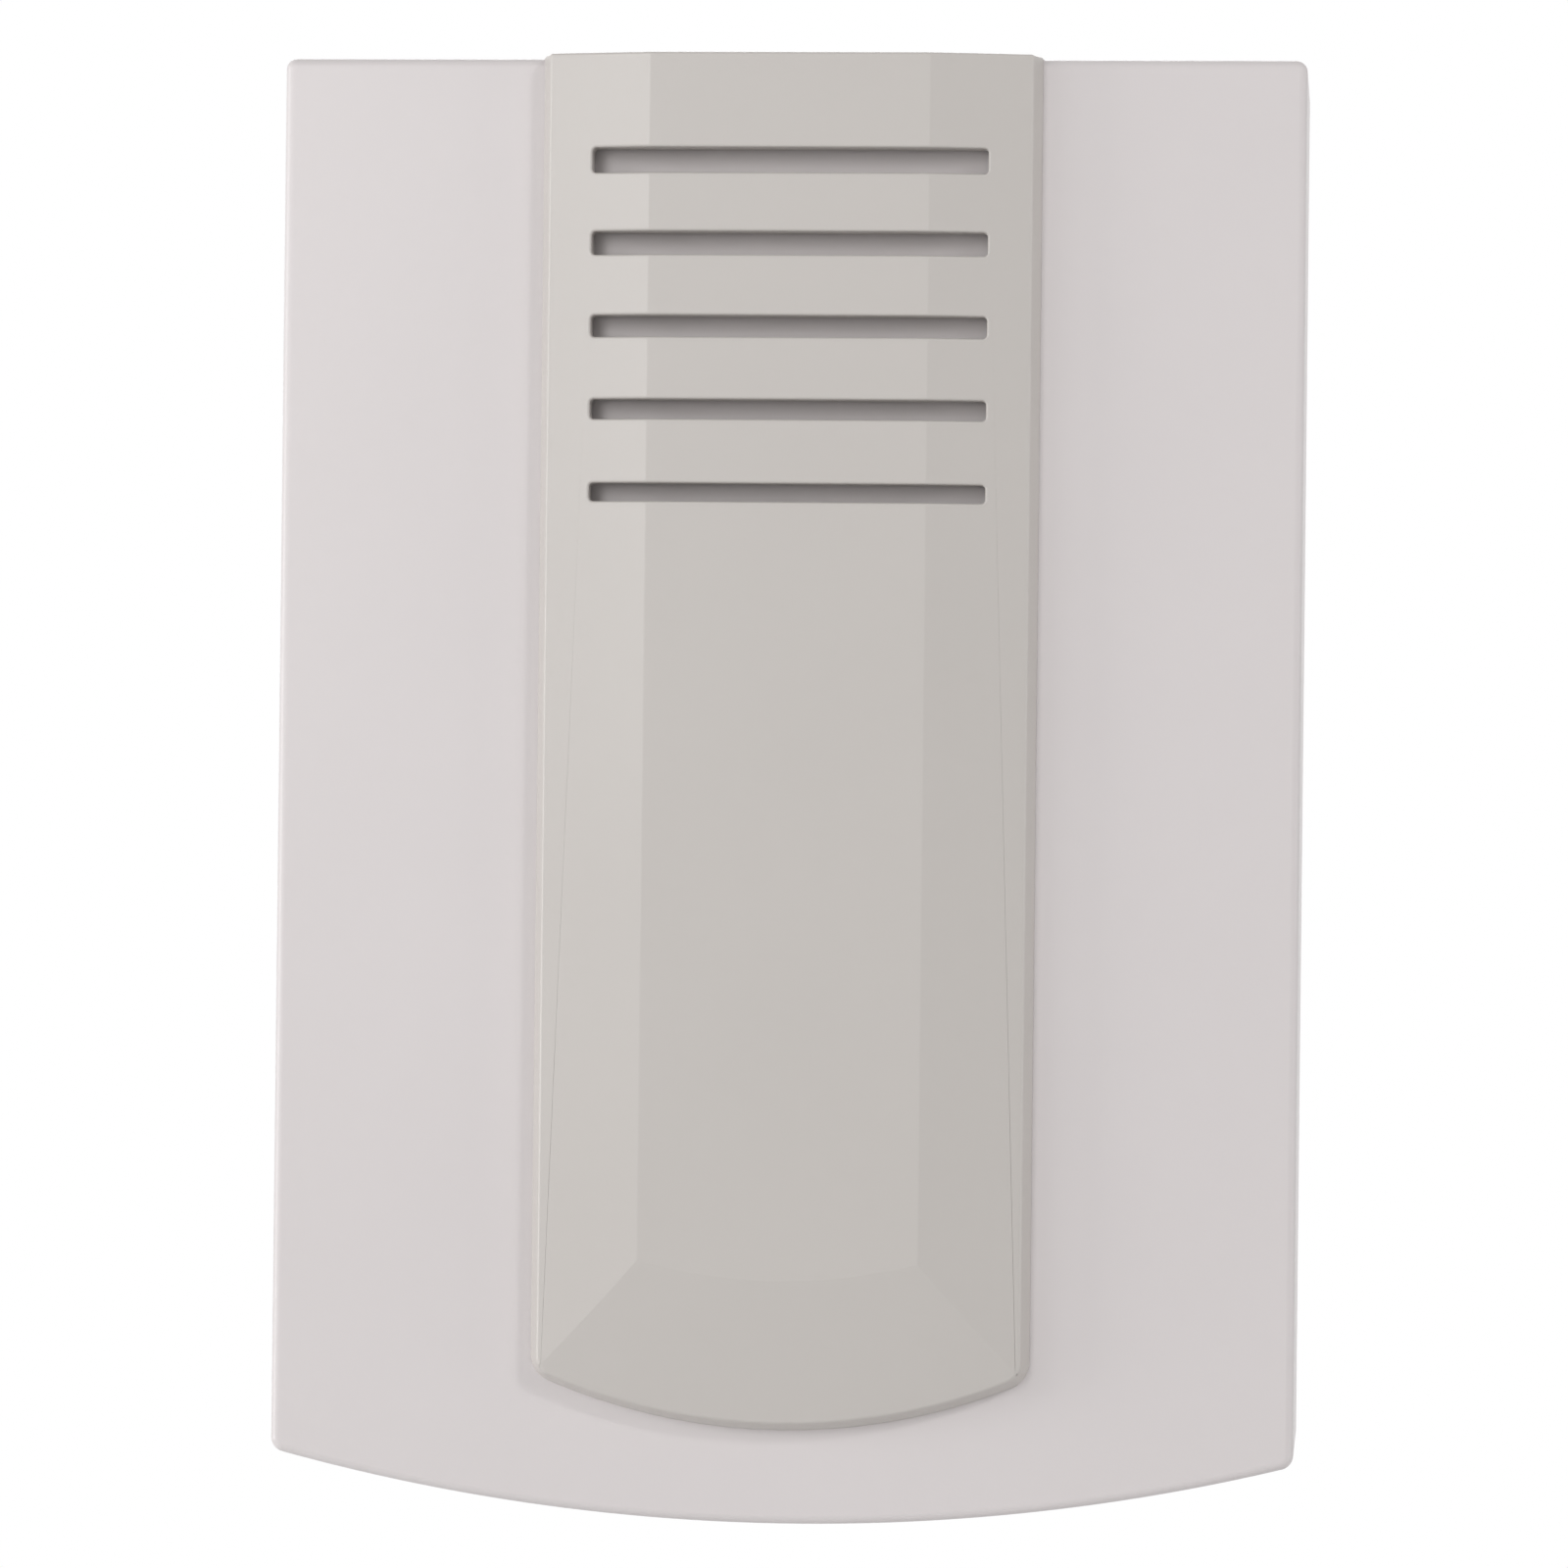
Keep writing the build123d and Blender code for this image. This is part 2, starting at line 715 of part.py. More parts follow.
def wire_coil(name, frame, start_radius, end_radius, rise, turns, wire_radius):
    """A spring of round wire that climbs along the frame's z axis, with its least gap printed."""
    quarters = 4 * turns

    def point(share):
        angle = 2 * pi * turns * share
        radius = start_radius + (end_radius - start_radius) * share
        return Vector(*frame.from_local_coords((radius * cos(angle), radius * sin(angle), rise * share)))

    def tangent(share):
        step = 1e-5
        return (point(share + step) - point(share - step)).normalized()

    arcs = []
    for i in range(quarters):
        here = i / quarters
        there = (i + 1) / quarters
        arcs += biarc(point(here), tangent(here), point(there), tangent(there))
    path = Wire(arcs)
    section = Plane(origin=path @ 0, z_dir=path % 0) * Circle(wire_radius)
    turn_share = 1 / turns
    samples = [i / 400 * (1 - turn_share) for i in range(401)]
    gap = min((point(s + turn_share) - point(s)).length for s in samples) - 2 * wire_radius
    print(f"{name}: {turns} turns, least gap {gap:.2f} mm")
    return sweep(section, path=path)


def make_return_spring():
    start = pole_outer + spring_wire_radius + spring_end_gap
    end = clip_x - spring_wire_radius - spring_end_gap
    frame = Plane(origin=(start, -striker_depth, striker_z), x_dir=(0, 0, 1), z_dir=(1, 0, 0))
    return wire_coil(
        "return_spring",
        frame,
        spring_radius,
        spring_radius,
        end - start,
        spring_turns,
        spring_wire_radius,
    )


def make_cell_spring(name, x, seat_z, direction):
    start = seat_z + direction * cell_spring_wire_radius
    frame = Plane(origin=(x, -channel_depth, start), x_dir=(1, 0, 0), z_dir=(0, 0, direction))
    return wire_coil(
        name,
        frame,
        cell_spring_base_radius,
        cell_spring_tip_radius,
        cell_spring_height,
        cell_spring_turns,
        cell_spring_wire_radius,
    )


def cradle_profile(top):
    """Two round channels side by side, cut off level at a depth, as seen from above."""
    discs = Pos(-channel_x, -channel_depth) * Circle(channel_outer)
    discs += Pos(channel_x, -channel_depth) * Circle(channel_outer)
    height = top - plate_thickness
    return discs & (Pos(0, -plate_thickness - height / 2) * Rectangle(2 * cradle_reach, height))


def make_battery_cradle():
    low = bay_bottom - cradle_end_wall
    high = bay_top + cradle_end_wall
    side_top = channel_depth + cradle_side_over
    cradle = Pos(0, 0, low) * extrude(cradle_profile(side_top), amount=high - low, dir=(0, 0, 1))
    rib_top = plate_thickness + cradle_rib_depth
    for z in (bay_bottom + cradle_rib_inset, bay_middle, bay_top - cradle_rib_inset):
        z0 = z - cradle_rib_width / 2
        z1 = z0 + cradle_rib_width
        cradle += block(-cradle_reach, cradle_reach, plate_thickness, rib_top, z0, z1)
    ear_root = cradle_reach - cradle_ear_root
    ear_end = cradle_reach + cradle_ear_length
    ear_half = cradle_ear_width / 2
    for side in (-1, 1):
        ear_z = (bay_middle - ear_half, bay_middle + ear_half)
        cradle += block(side * ear_root, side * ear_end, boss_top, ear_top, *ear_z)
        cradle -= rod_y(boss_radius + tag_fit, plate_thickness, boss_top, side * cradle_screw_x, bay_middle)
        hole_radius = screw_radius + screw_hole_fit
        cradle -= rod_y(hole_radius, boss_top, ear_top, side * cradle_screw_x, bay_middle)
        cradle -= rod_z(channel_radius, bay_bottom, bay_top, side * channel_x, channel_depth)
        notch_low = channel_depth - cradle_notch_under
        notch_z = (bay_middle - cradle_notch_width / 2, bay_middle + cradle_notch_width / 2)
        cradle -= block(side * channel_x, side * cradle_reach, notch_low, side_top, *notch_z)
    for z in (low, bay_top):
        end_top = channel_depth + cradle_end_over
        wall = extrude(cradle_profile(end_top), amount=cradle_end_wall, dir=(0, 0, 1))
        cradle += Pos(0, 0, z) * wall
    for side in (-1, 1):
        x = side * (channel_x + tag_offset)
        half = (tag_width + tag_fit) / 2
        near = contact_near - tag_fit / 2
        far = contact_near + contact_thickness + tag_fit / 2
        cradle -= block(x - half, x + half, near, far, bay_top, high)
    return cradle


def contact_pad(x, z0, z1):
    half = contact_width / 2
    return block(x - half, x + half, contact_near, contact_far, z0, z1)


def make_top_contact(side, with_button):
    """A flat contact at the head of one channel, with a tag through the end wall for its lead."""
    z0 = bay_top - contact_thickness
    x = side * channel_x
    tag_inner = x + side * (tag_offset - tag_width / 2)
    tag_outer = x + side * (tag_offset + tag_width / 2)
    contact = contact_pad(x, z0, bay_top)
    contact += block(x, tag_outer, contact_near, contact_near + tag_width, z0, bay_top)
    contact += block(tag_inner, tag_outer, contact_near, contact_near + contact_thickness, z0, tag_top)
    if with_button:
        contact += rod_z(contact_button_radius, z0 - contact_button_height, z0, x, channel_depth)
    return contact


def make_link_contact():
    """One strip across the feet of both channels that joins the two columns of cells."""
    z1 = bay_bottom + contact_thickness
    link = contact_pad(-channel_x, bay_bottom, z1) + contact_pad(channel_x, bay_bottom, z1)
    near = contact_far - contact_bridge_width
    link += block(-channel_x, channel_x, near, contact_far, bay_bottom, z1)
    button_top = z1 + contact_button_height
    return link + rod_z(contact_button_radius, z1, button_top, channel_x, channel_depth)


def make_terminal_block():
    top = terminal_z + terminal_block_height
    body = block(-terminal_half, terminal_half, plate_thickness, terminal_front, terminal_z, top)
    half = clamp_side / 2 + clamp_fit
    pocket_far = terminal_wire_depth + half
    for x in terminal_xs:
        body -= block(x - half, x + half, terminal_wire_depth - half, pocket_far, terminal_z, top)
        body -= rod_y(clamp_screw_access_radius, pocket_far, terminal_front, x, terminal_middle)
    for left, right in zip(terminal_xs, terminal_xs[1:]):
        x = (left + right) / 2
        g = terminal_groove_width / 2
        groove_near = terminal_front - terminal_groove_depth
        body -= block(x - g, x + g, groove_near, terminal_front, terminal_z, top)
    low = terminal_middle - terminal_ear_width / 2
    high = terminal_middle + terminal_ear_width / 2
    for side in (-1, 1):
        ear_end = terminal_half + terminal_ear_length
        body += block(side * terminal_half, side * ear_end, boss_top, ear_top, low, high)
        x = side * terminal_screw_x
        body -= rod_y(screw_radius + screw_hole_fit, boss_top, ear_top, x, terminal_middle)
    return body


def make_terminal_clamp(x):
    half = clamp_side / 2
    low = terminal_middle - clamp_length / 2
    near = terminal_wire_depth - half
    far = terminal_wire_depth + half
    clamp = block(x - half, x + half, near, far, low, low + clamp_length)
    clamp -= rod_z(clamp_bore_radius, low, low + clamp_length, x, terminal_wire_depth)
    thread_radius = clamp_screw_radius + clamp_screw_fit
    return clamp - rod_y(thread_radius, terminal_wire_depth, far, x, terminal_middle)


def make_terminal_screw(x):
    tip = terminal_wire_depth + lead_radius + lead_lift
    head_near = terminal_wire_depth + clamp_side / 2 + clamp_screw_lift
    head_far = head_near + clamp_screw_head
    screw = rod_y(clamp_screw_radius, tip, head_near, x, terminal_middle)
    screw += rod_y(clamp_screw_head_radius, head_near, head_far, x, terminal_middle)
    reach = clamp_screw_head_radius
    half = clamp_screw_slot_width / 2
    slot_near = head_far - clamp_screw_slot_depth
    z = terminal_middle
    return screw - block(x - reach, x + reach, slot_near, head_far, z - half, z + half)


def make_fixing_screw(x, z):
    """A pan-head self-tapping screw with a plain cross recess."""
    head = rod_y(screw_head_radius, ear_top, ear_top + screw_head, x, z)
    head = fillet(head.edges().filter_by(GeomType.CIRCLE).sort_by(Axis.Y)[0], screw_head_round)
    screw = head + rod_y(screw_radius, ear_top - screw_length, ear_top, x, z)
    near = ear_top + screw_head - screw_recess_depth
    far = ear_top + screw_head
    long = screw_recess_length / 2
    short = screw_recess_width / 2
    screw -= block(x - long, x + long, near, far, z - short, z + short)
    return screw - block(x - short, x + short, near, far, z - long, z + long)


def make_lead(name, points):
    """A round wire along straight runs joined by arcs. Each point is an x, a depth and a z."""
    route = [Vector(x, -depth, z) for x, depth, z in points]
    runs = [b - a for a, b in zip(route, route[1:])]
    radii = []
    for before, after in zip(runs, runs[1:]):
        shorter = min(before.length, after.length)
        radii.append(0.45 * shorter / tan(radians(before.get_angle(after)) / 2))
    print(name, "bend radii", [round(r, 1) for r in radii])
    path = FilletPolyline(*route, radius=radii)
    section = Plane(origin=path @ 0, z_dir=path % 0) * Circle(lead_radius)
    return sweep(section, path=path.wire())


def make_battery_lead(name, side, terminal_x):
    """From a contact's tag, round the end of the solenoid under its hook, up to a terminal."""
    tag_x = channel_x + tag_offset + tag_width / 2
    tag_depth = contact_near + contact_thickness / 2
    tag_z = tag_top - lead_radius
    low_depth = plate_thickness + lead_radius + lead_lift
    points = [
        (side * tag_x, tag_depth, tag_z),
        (side * (tag_x + lead_exit_run), tag_depth, tag_z + lead_radius / 2),
        (side * (hook_x - lead_sway), low_depth + lead_sway, tag_z + lead_exit_run),
        (side * hook_x, low_depth, striker_z - lead_exit_run),
        (side * hook_x, low_depth, striker_z + lead_hook_run),
        (side * (hook_x - lead_turn), low_depth, terminal_z - lead_turn),
        ((side * hook_x + terminal_x) / 2, low_depth + lead_radius, terminal_z - lead_turn + lead_sway),
        (terminal_x + side * lead_turn, low_depth + 2 * lead_rise, terminal_z - lead_turn),
        (terminal_x, terminal_wire_depth, terminal_z - lead_rise),
        (terminal_x, terminal_wire_depth, terminal_middle + lead_end_past_screw),
    ]
    return make_lead(name, points)


def make_coil_lead(name, start_x, terminal_x):
    """From inside the winding, up between the flanges and back to a terminal."""
    start_depth = striker_depth - bobbin_flange_side / 3
    surface = sqrt(winding_radius**2 - (striker_depth - start_depth) ** 2)
    flange_top = striker_z + bobbin_flange_side / 2
    points = [
        (start_x, start_depth, striker_z + surface - 2 * lead_radius),
        (start_x, start_depth - lead_radius / 2, flange_top + lead_rise),
        ((start_x + terminal_x) / 2, terminal_wire_depth + lead_rise, (flange_top + terminal_z) / 2),
        (terminal_x, terminal_wire_depth, terminal_z - lead_rise),
        (terminal_x, terminal_wire_depth, terminal_middle + lead_end_past_screw),
    ]
    return make_lead(name, points)


battery_terminal, push_terminal, common_terminal = terminal_xs
nodes = {
    "front_cover": [make_front_cover()],
    "grille_panel": [make_grille_panel()],
    "back_plate": [make_back_plate()],
    "cable_grommet": [make_cable_grommet()],
    "battery_cradle": [make_battery_cradle()],
    "contact_positive": [make_top_contact(-1, with_button=True)],
    "contact_negative": [make_top_contact(1, with_button=False)],
    "contact_link": [make_link_contact()],
    "cell_spring_lower": [
        make_cell_spring("cell_spring_lower", -channel_x, bay_bottom + contact_thickness, 1)
    ],
    "cell_spring_upper": [
        make_cell_spring("cell_spring_upper", channel_x, bay_top - contact_thickness, -1)
    ],
    "tone_plate_high": [make_tone_plate(-1, tone_high_length)],
    "tone_plate_low": [make_tone_plate(1, tone_low_length)],
    "tone_plate_grommets": [make_tone_grommet(side, z) for side, z in tone_hanging_places()],
    "tone_plate_pins": [make_tone_pin(side, z) for side, z in tone_hanging_places()],
    "solenoid_bobbin": [make_bobbin()],
    "solenoid_winding": [make_winding()],
    "pole_plate_left": [make_pole_plate(-1)],
    "pole_plate_right": [make_pole_plate(1)],
    "yoke_strip": [make_yoke_strip()],
    "plunger": [make_plunger()],
    "striker_tip_left": [make_striker_tip(-1, plunger_left)],
    "striker_tip_right": [make_striker_tip(1, plunger_right)],
    "spring_clip": [make_spring_clip()],
    "return_spring": [make_return_spring()],
    "terminal_block": [make_terminal_block()],
    "terminal_clamps": [make_terminal_clamp(x) for x in terminal_xs],
    "terminal_screws": [make_terminal_screw(x) for x in terminal_xs],
    "fixing_screws": [make_fixing_screw(x, z) for x, z in fixing_places],
    "battery_lead_positive": [make_battery_lead("battery_lead_positive", -1, battery_terminal)],
    "battery_lead_negative": [
        make_battery_lead("battery_lead_negative", 1, common_terminal + lead_pair_offset)
    ],
    "coil_lead_push": [
        make_coil_lead("coil_lead_push", push_terminal + coil_lead_offset, push_terminal)
    ],
    "coil_lead_common": [
        make_coil_lead(
            "coil_lead_common",
            common_terminal - coil_lead_offset,
            common_terminal - lead_pair_offset,
        )
    ],
}

os.makedirs("parts", exist_ok=True)
for name, pieces in nodes.items():
    solids = [solid for piece in pieces for solid in piece.solids()]
    export_step(solids[0] if len(solids) == 1 else Compound(solids), f"parts/{name}.step")
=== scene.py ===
import json
from math import cos, radians, sin, sqrt, tau

import bpy
from mathutils import Matrix, Vector

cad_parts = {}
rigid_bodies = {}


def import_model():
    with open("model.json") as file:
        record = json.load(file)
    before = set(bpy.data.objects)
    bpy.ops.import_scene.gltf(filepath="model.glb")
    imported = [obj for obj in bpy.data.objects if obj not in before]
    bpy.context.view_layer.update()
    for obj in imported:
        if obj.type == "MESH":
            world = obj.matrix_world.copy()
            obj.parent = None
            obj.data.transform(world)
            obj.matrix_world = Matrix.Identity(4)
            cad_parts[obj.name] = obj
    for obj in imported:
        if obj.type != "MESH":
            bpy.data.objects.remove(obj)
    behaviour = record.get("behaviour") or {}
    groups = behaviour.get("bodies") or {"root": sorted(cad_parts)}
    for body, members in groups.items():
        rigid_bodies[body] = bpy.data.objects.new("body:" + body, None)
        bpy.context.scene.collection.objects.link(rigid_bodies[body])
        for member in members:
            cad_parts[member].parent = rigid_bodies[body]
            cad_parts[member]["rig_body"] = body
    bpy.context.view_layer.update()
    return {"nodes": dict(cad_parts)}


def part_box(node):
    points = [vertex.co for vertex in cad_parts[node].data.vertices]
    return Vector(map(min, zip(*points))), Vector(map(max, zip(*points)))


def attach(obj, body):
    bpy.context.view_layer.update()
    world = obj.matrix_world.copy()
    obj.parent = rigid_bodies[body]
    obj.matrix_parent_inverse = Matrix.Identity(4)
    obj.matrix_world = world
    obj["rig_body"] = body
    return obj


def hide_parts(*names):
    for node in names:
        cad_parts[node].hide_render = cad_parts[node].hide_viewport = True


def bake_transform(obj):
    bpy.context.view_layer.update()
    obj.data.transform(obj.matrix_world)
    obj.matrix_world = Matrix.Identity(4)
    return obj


# A two-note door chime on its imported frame. Metres, with the wall at y 0 and the front facing -y.
# A depth is a distance out from the wall, along -y.
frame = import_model()
MM = 0.001
SAME_PLACE = 1e-6
SMOOTH_ANGLE = radians(42)

# Camera, as fitted to the case's corners in the photograph, whose frame is 1600 pixels square
FRAME_PIXELS = 1600
FOCAL_PIXELS = 6749.7
SENSOR_WIDTH = 36.0
CAMERA_PLACE = (70.5 * MM, -944 * MM, -4.1 * MM)
CAMERA_YAW = radians(4.494)
CAMERA_PITCH = radians(0.322)
CAMERA_ROLL = radians(-0.630)
CLIP_NEAR = 0.05
CLIP_FAR = 20.0

# Studio
LIGHT_AIM = Vector((0, -0.03, 0))
AMBIENT = 0.3
FLOOR_Z = -0.6
FLOOR_RADIUS = 3.0
FLOOR_RIM = 1.5
FADE_START = 0.25
FADE_END = 0.8

# Case
CASE_HALF = 70.0 * MM
CASE_TOP = 100.0 * MM
BOW_RADIUS = 276.722 * MM
BOW_CENTRE = 176.722 * MM
FACE_DEPTH = 44.0 * MM
INSIDE_DEPTH = 41.8 * MM
RIM_DEPTH = 1.0 * MM
COVER_WALL = 2.2 * MM
FLARE = 0.35 * MM
SOCKETS = [(side * 40.0 * MM, z * MM) for side in (-1, 1) for z in (86.0, -82.0)]
HIDDEN_SLOTS = [z * MM for z in (80.0, 68.7, 57.4, 46.1)]
STAKES = [(side * 15.0 * MM, z * MM) for side in (-1, 1) for z in (94.0, 28.0, -17.0, -62.0)]

# Ribs inside the cover's face
RIB_TOP = 39.9 * MM
RIB_ROOT = 42.4 * MM
RIB_HALF = 0.6 * MM
RIB_ROUND = 0.4 * MM

# Panel's front: a plateau with facets that fall away from it, and five sound slots.
# Each slot is the z of its middle and its height, from the top one down.
PLATEAU_HALF = 19.1 * MM
PLATEAU_DEPTH = 50.0 * MM
FACET_FALL = 2.5 / 13.85
SLOT_HALF = 27.0 * MM
SOUND_SLOTS = [((85.65 - 11.3 * i) * MM, (3.46 - 0.235 * i) * MM) for i in range(5)]

# Striker and solenoid
STRIKER_DEPTH = 23.0 * MM
striker_low, striker_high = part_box("plunger")
STRIKER_Z = (striker_low.z + striker_high.z) / 2

# Leads
COPPER_RADIUS = 0.36 * MM
SLEEVE_RADIUS = 0.6 * MM
TERMINAL_DEPTH = 8.0 * MM


def pick(piece):
    """Leaves only this object selected and active."""
    bpy.ops.object.select_all(action="DESELECT")
    piece.select_set(True)
    bpy.context.view_layer.objects.active = piece


def settle(piece, name):
    """Moves the object's place and size into its mesh."""
    pick(piece)
    bpy.ops.object.transform_apply(location=True, rotation=True, scale=True)
    piece.name = name
    return piece


def edit_all(piece):
    pick(piece)
    bpy.ops.object.mode_set(mode="EDIT")
    bpy.ops.mesh.select_all(action="SELECT")


def finish_edit():
    bpy.ops.object.mode_set(mode="OBJECT")


def choose_faces(piece, test):
    """Selects, for edit mode, the faces whose centre and normal pass the test."""
    edit_all(piece)
    bpy.ops.mesh.select_mode(type="FACE")
    bpy.ops.mesh.select_all(action="DESELECT")
    finish_edit()
    for face in piece.data.polygons:
        face.select = test(face.center, face.normal)
    bpy.ops.object.mode_set(mode="EDIT")


def choose_edges(piece, test):
    """Selects, for edit mode, the edges whose two ends pass the test."""
    edit_all(piece)
    bpy.ops.mesh.select_mode(type="EDGE")
    bpy.ops.mesh.select_all(action="DESELECT")
    finish_edit()
    points = piece.data.vertices
    for edge in piece.data.edges:
        start, end = (points[i].co for i in edge.vertices)
        edge.select = test(start, end)
    bpy.ops.object.mode_set(mode="EDIT")


def round_chosen(width, segments=3):
    bpy.ops.mesh.bevel(offset=width, segments=segments, profile=0.5, clamp_overlap=False)
    finish_edit()


def near(a, b):
    return abs(a - b) < SAME_PLACE


def combine(piece, other, operation):
    """Joins the other closed shape to the piece, or cuts the piece with it, and removes the other."""
    pick(piece)
    cut = piece.modifiers.new("combine", "BOOLEAN")
    cut.operation = operation
    cut.solver = "EXACT"
    cut.object = other
    bpy.ops.object.modifier_apply(modifier=cut.name)
    bpy.data.objects.remove(other)
    return piece


def shade(piece):
    """Smooth over the rounded edges, with the flats kept flat."""
    pick(piece)
    bpy.ops.object.shade_smooth_by_angle(angle=SMOOTH_ANGLE)
    flats = piece.modifiers.new("flats", "WEIGHTED_NORMAL")
    flats.keep_sharp = True
    bpy.ops.object.modifier_apply(modifier=flats.name)


def bar(name, low, high):
    """A block between two corners, each an x, a depth and a z."""
    place = Vector((low[0] + high[0], -low[1] - high[1], low[2] + high[2])) / 2
    size = [abs(b - a) for a, b in zip(low, high)]
    bpy.ops.mesh.primitive_cube_add(size=1, location=place, scale=size)
    return settle(bpy.context.object, name)


def rod(name, radius, start, end, sides=48):
    """A round bar between two points, each an x, a depth and a z."""
    start, end = (Vector((p[0], -p[1], p[2])) for p in (start, end))
    turn = (end - start).to_track_quat("Z", "Y").to_euler()
    middle = (start + end) / 2
    bpy.ops.mesh.primitive_cylinder_add(
        vertices=sides, radius=radius, depth=(end - start).length, location=middle, rotation=turn
    )
    return settle(bpy.context.object, name)


def shader_of(material):
    return next(n for n in material.node_tree.nodes if n.type == "BSDF_PRINCIPLED")


def new_material(name, colour, roughness, metallic=0.0):
    material = bpy.data.materials.new(name)
    material.use_nodes = True
    shader = shader_of(material)
    shader.inputs["Base Color"].default_value = (*colour, 1.0)
    shader.inputs["Roughness"].default_value = roughness
    shader.inputs["Metallic"].default_value = metallic
    shader.inputs["IOR"].default_value = 1.5
    return material


def add_node(material, kind, **values):
    node = material.node_tree.nodes.new(kind)
    for name, value in values.items():
        if name in node.inputs:
            node.inputs[name].default_value = value
        else:
            setattr(node, name, value)
    return node


def object_pattern(material, stretch=(1.0, 1.0, 1.0)):
    """Object coordinates, stretched along the axes for brushed or drawn surfaces."""
    links = material.node_tree.links
    coordinates = add_node(material, "ShaderNodeTexCoord")
    mapping = add_node(material, "ShaderNodeMapping", Scale=stretch)
    links.new(coordinates.outputs["Object"], mapping.inputs["Vector"])
    return mapping.outputs["Vector"]


def noise(material, vector, per_metre, detail=2.0, roughness=0.5):
    node = add_node(material, "ShaderNodeTexNoise", Scale=per_metre, Detail=detail, Roughness=roughness)
    material.node_tree.links.new(vector, node.inputs["Vector"])
    return node.outputs["Fac"]


def spread(material, factor, low, high, start=0.3, end=0.7):
    """The factor from start to end, carried over to the range from low to high."""
    node = add_node(material, "ShaderNodeMapRange")
    for name, value in (("From Min", start), ("From Max", end), ("To Min", low), ("To Max", high)):
        node.inputs[name].default_value = value
    material.node_tree.links.new(factor, node.inputs["Value"])
    return node.outputs["Result"]


def mottle(material, factor, colour, other):
    """Colours the shader between two near colours."""
    node = add_node(material, "ShaderNodeMix", data_type="RGBA")
    colours = [s for s in node.inputs if s.type == "RGBA"]
    colours[0].default_value = (*colour, 1.0)
    colours[1].default_value = (*other, 1.0)
    links = material.node_tree.links
    links.new(factor, node.inputs[0])
    result = next(s for s in node.outputs if s.type == "RGBA")
    links.new(result, shader_of(material).inputs["Base Color"])


def roughen(material, factor, low, high):
    links = material.node_tree.links
    links.new(spread(material, factor, low, high), shader_of(material).inputs["Roughness"])


def emboss(material, height, depth, strength=1.0):
    """Bump from a height of 0 to 1 that stands for this depth in metres."""
    bump = add_node(material, "ShaderNodeBump", Strength=strength, Distance=depth)
    links = material.node_tree.links
    links.new(height, bump.inputs["Height"])
    links.new(bump.outputs["Normal"], shader_of(material).inputs["Normal"])


def satin_plastic(name, colour, roughness, grain_per_metre, grain_depth, tint=0.985, polish=0.0):
    """Moulded plastic with the fine even grain of an etched tool and a faint drift in its colour."""
    material = new_material(name, colour, roughness)
    shader_of(material).inputs["Coat Weight"].default_value = polish
    shader_of(material).inputs["Coat Roughness"].default_value = 0.18
    vector = object_pattern(material)
    drift = noise(material, vector, 35, detail=3)
    mottle(material, spread(material, drift, 0, 1), colour, tuple(c * tint for c in colour))
    grain = noise(material, vector, grain_per_metre, detail=2, roughness=0.6)
    roughen(material, grain, roughness - 0.05, roughness + 0.06)
    emboss(material, grain, grain_depth)
    return material


def metal(name, colour, roughness, stretch, grain_per_metre, grain_depth, other=None):
    """Metal whose fine marks run along the axis with the smallest stretch."""
    material = new_material(name, colour, roughness, metallic=1.0)
    vector = object_pattern(material, stretch)
    plain = object_pattern(material)
    cloud = noise(material, plain, 120, detail=4)
    mottle(material, spread(material, cloud, 0, 1), colour, other or tuple(c * 0.9 for c in colour))
    grain = noise(material, vector, grain_per_metre, detail=4, roughness=0.65)
    roughen(material, grain, roughness - 0.08, roughness + 0.12)
    emboss(material, grain, grain_depth, strength=0.6)
    return material


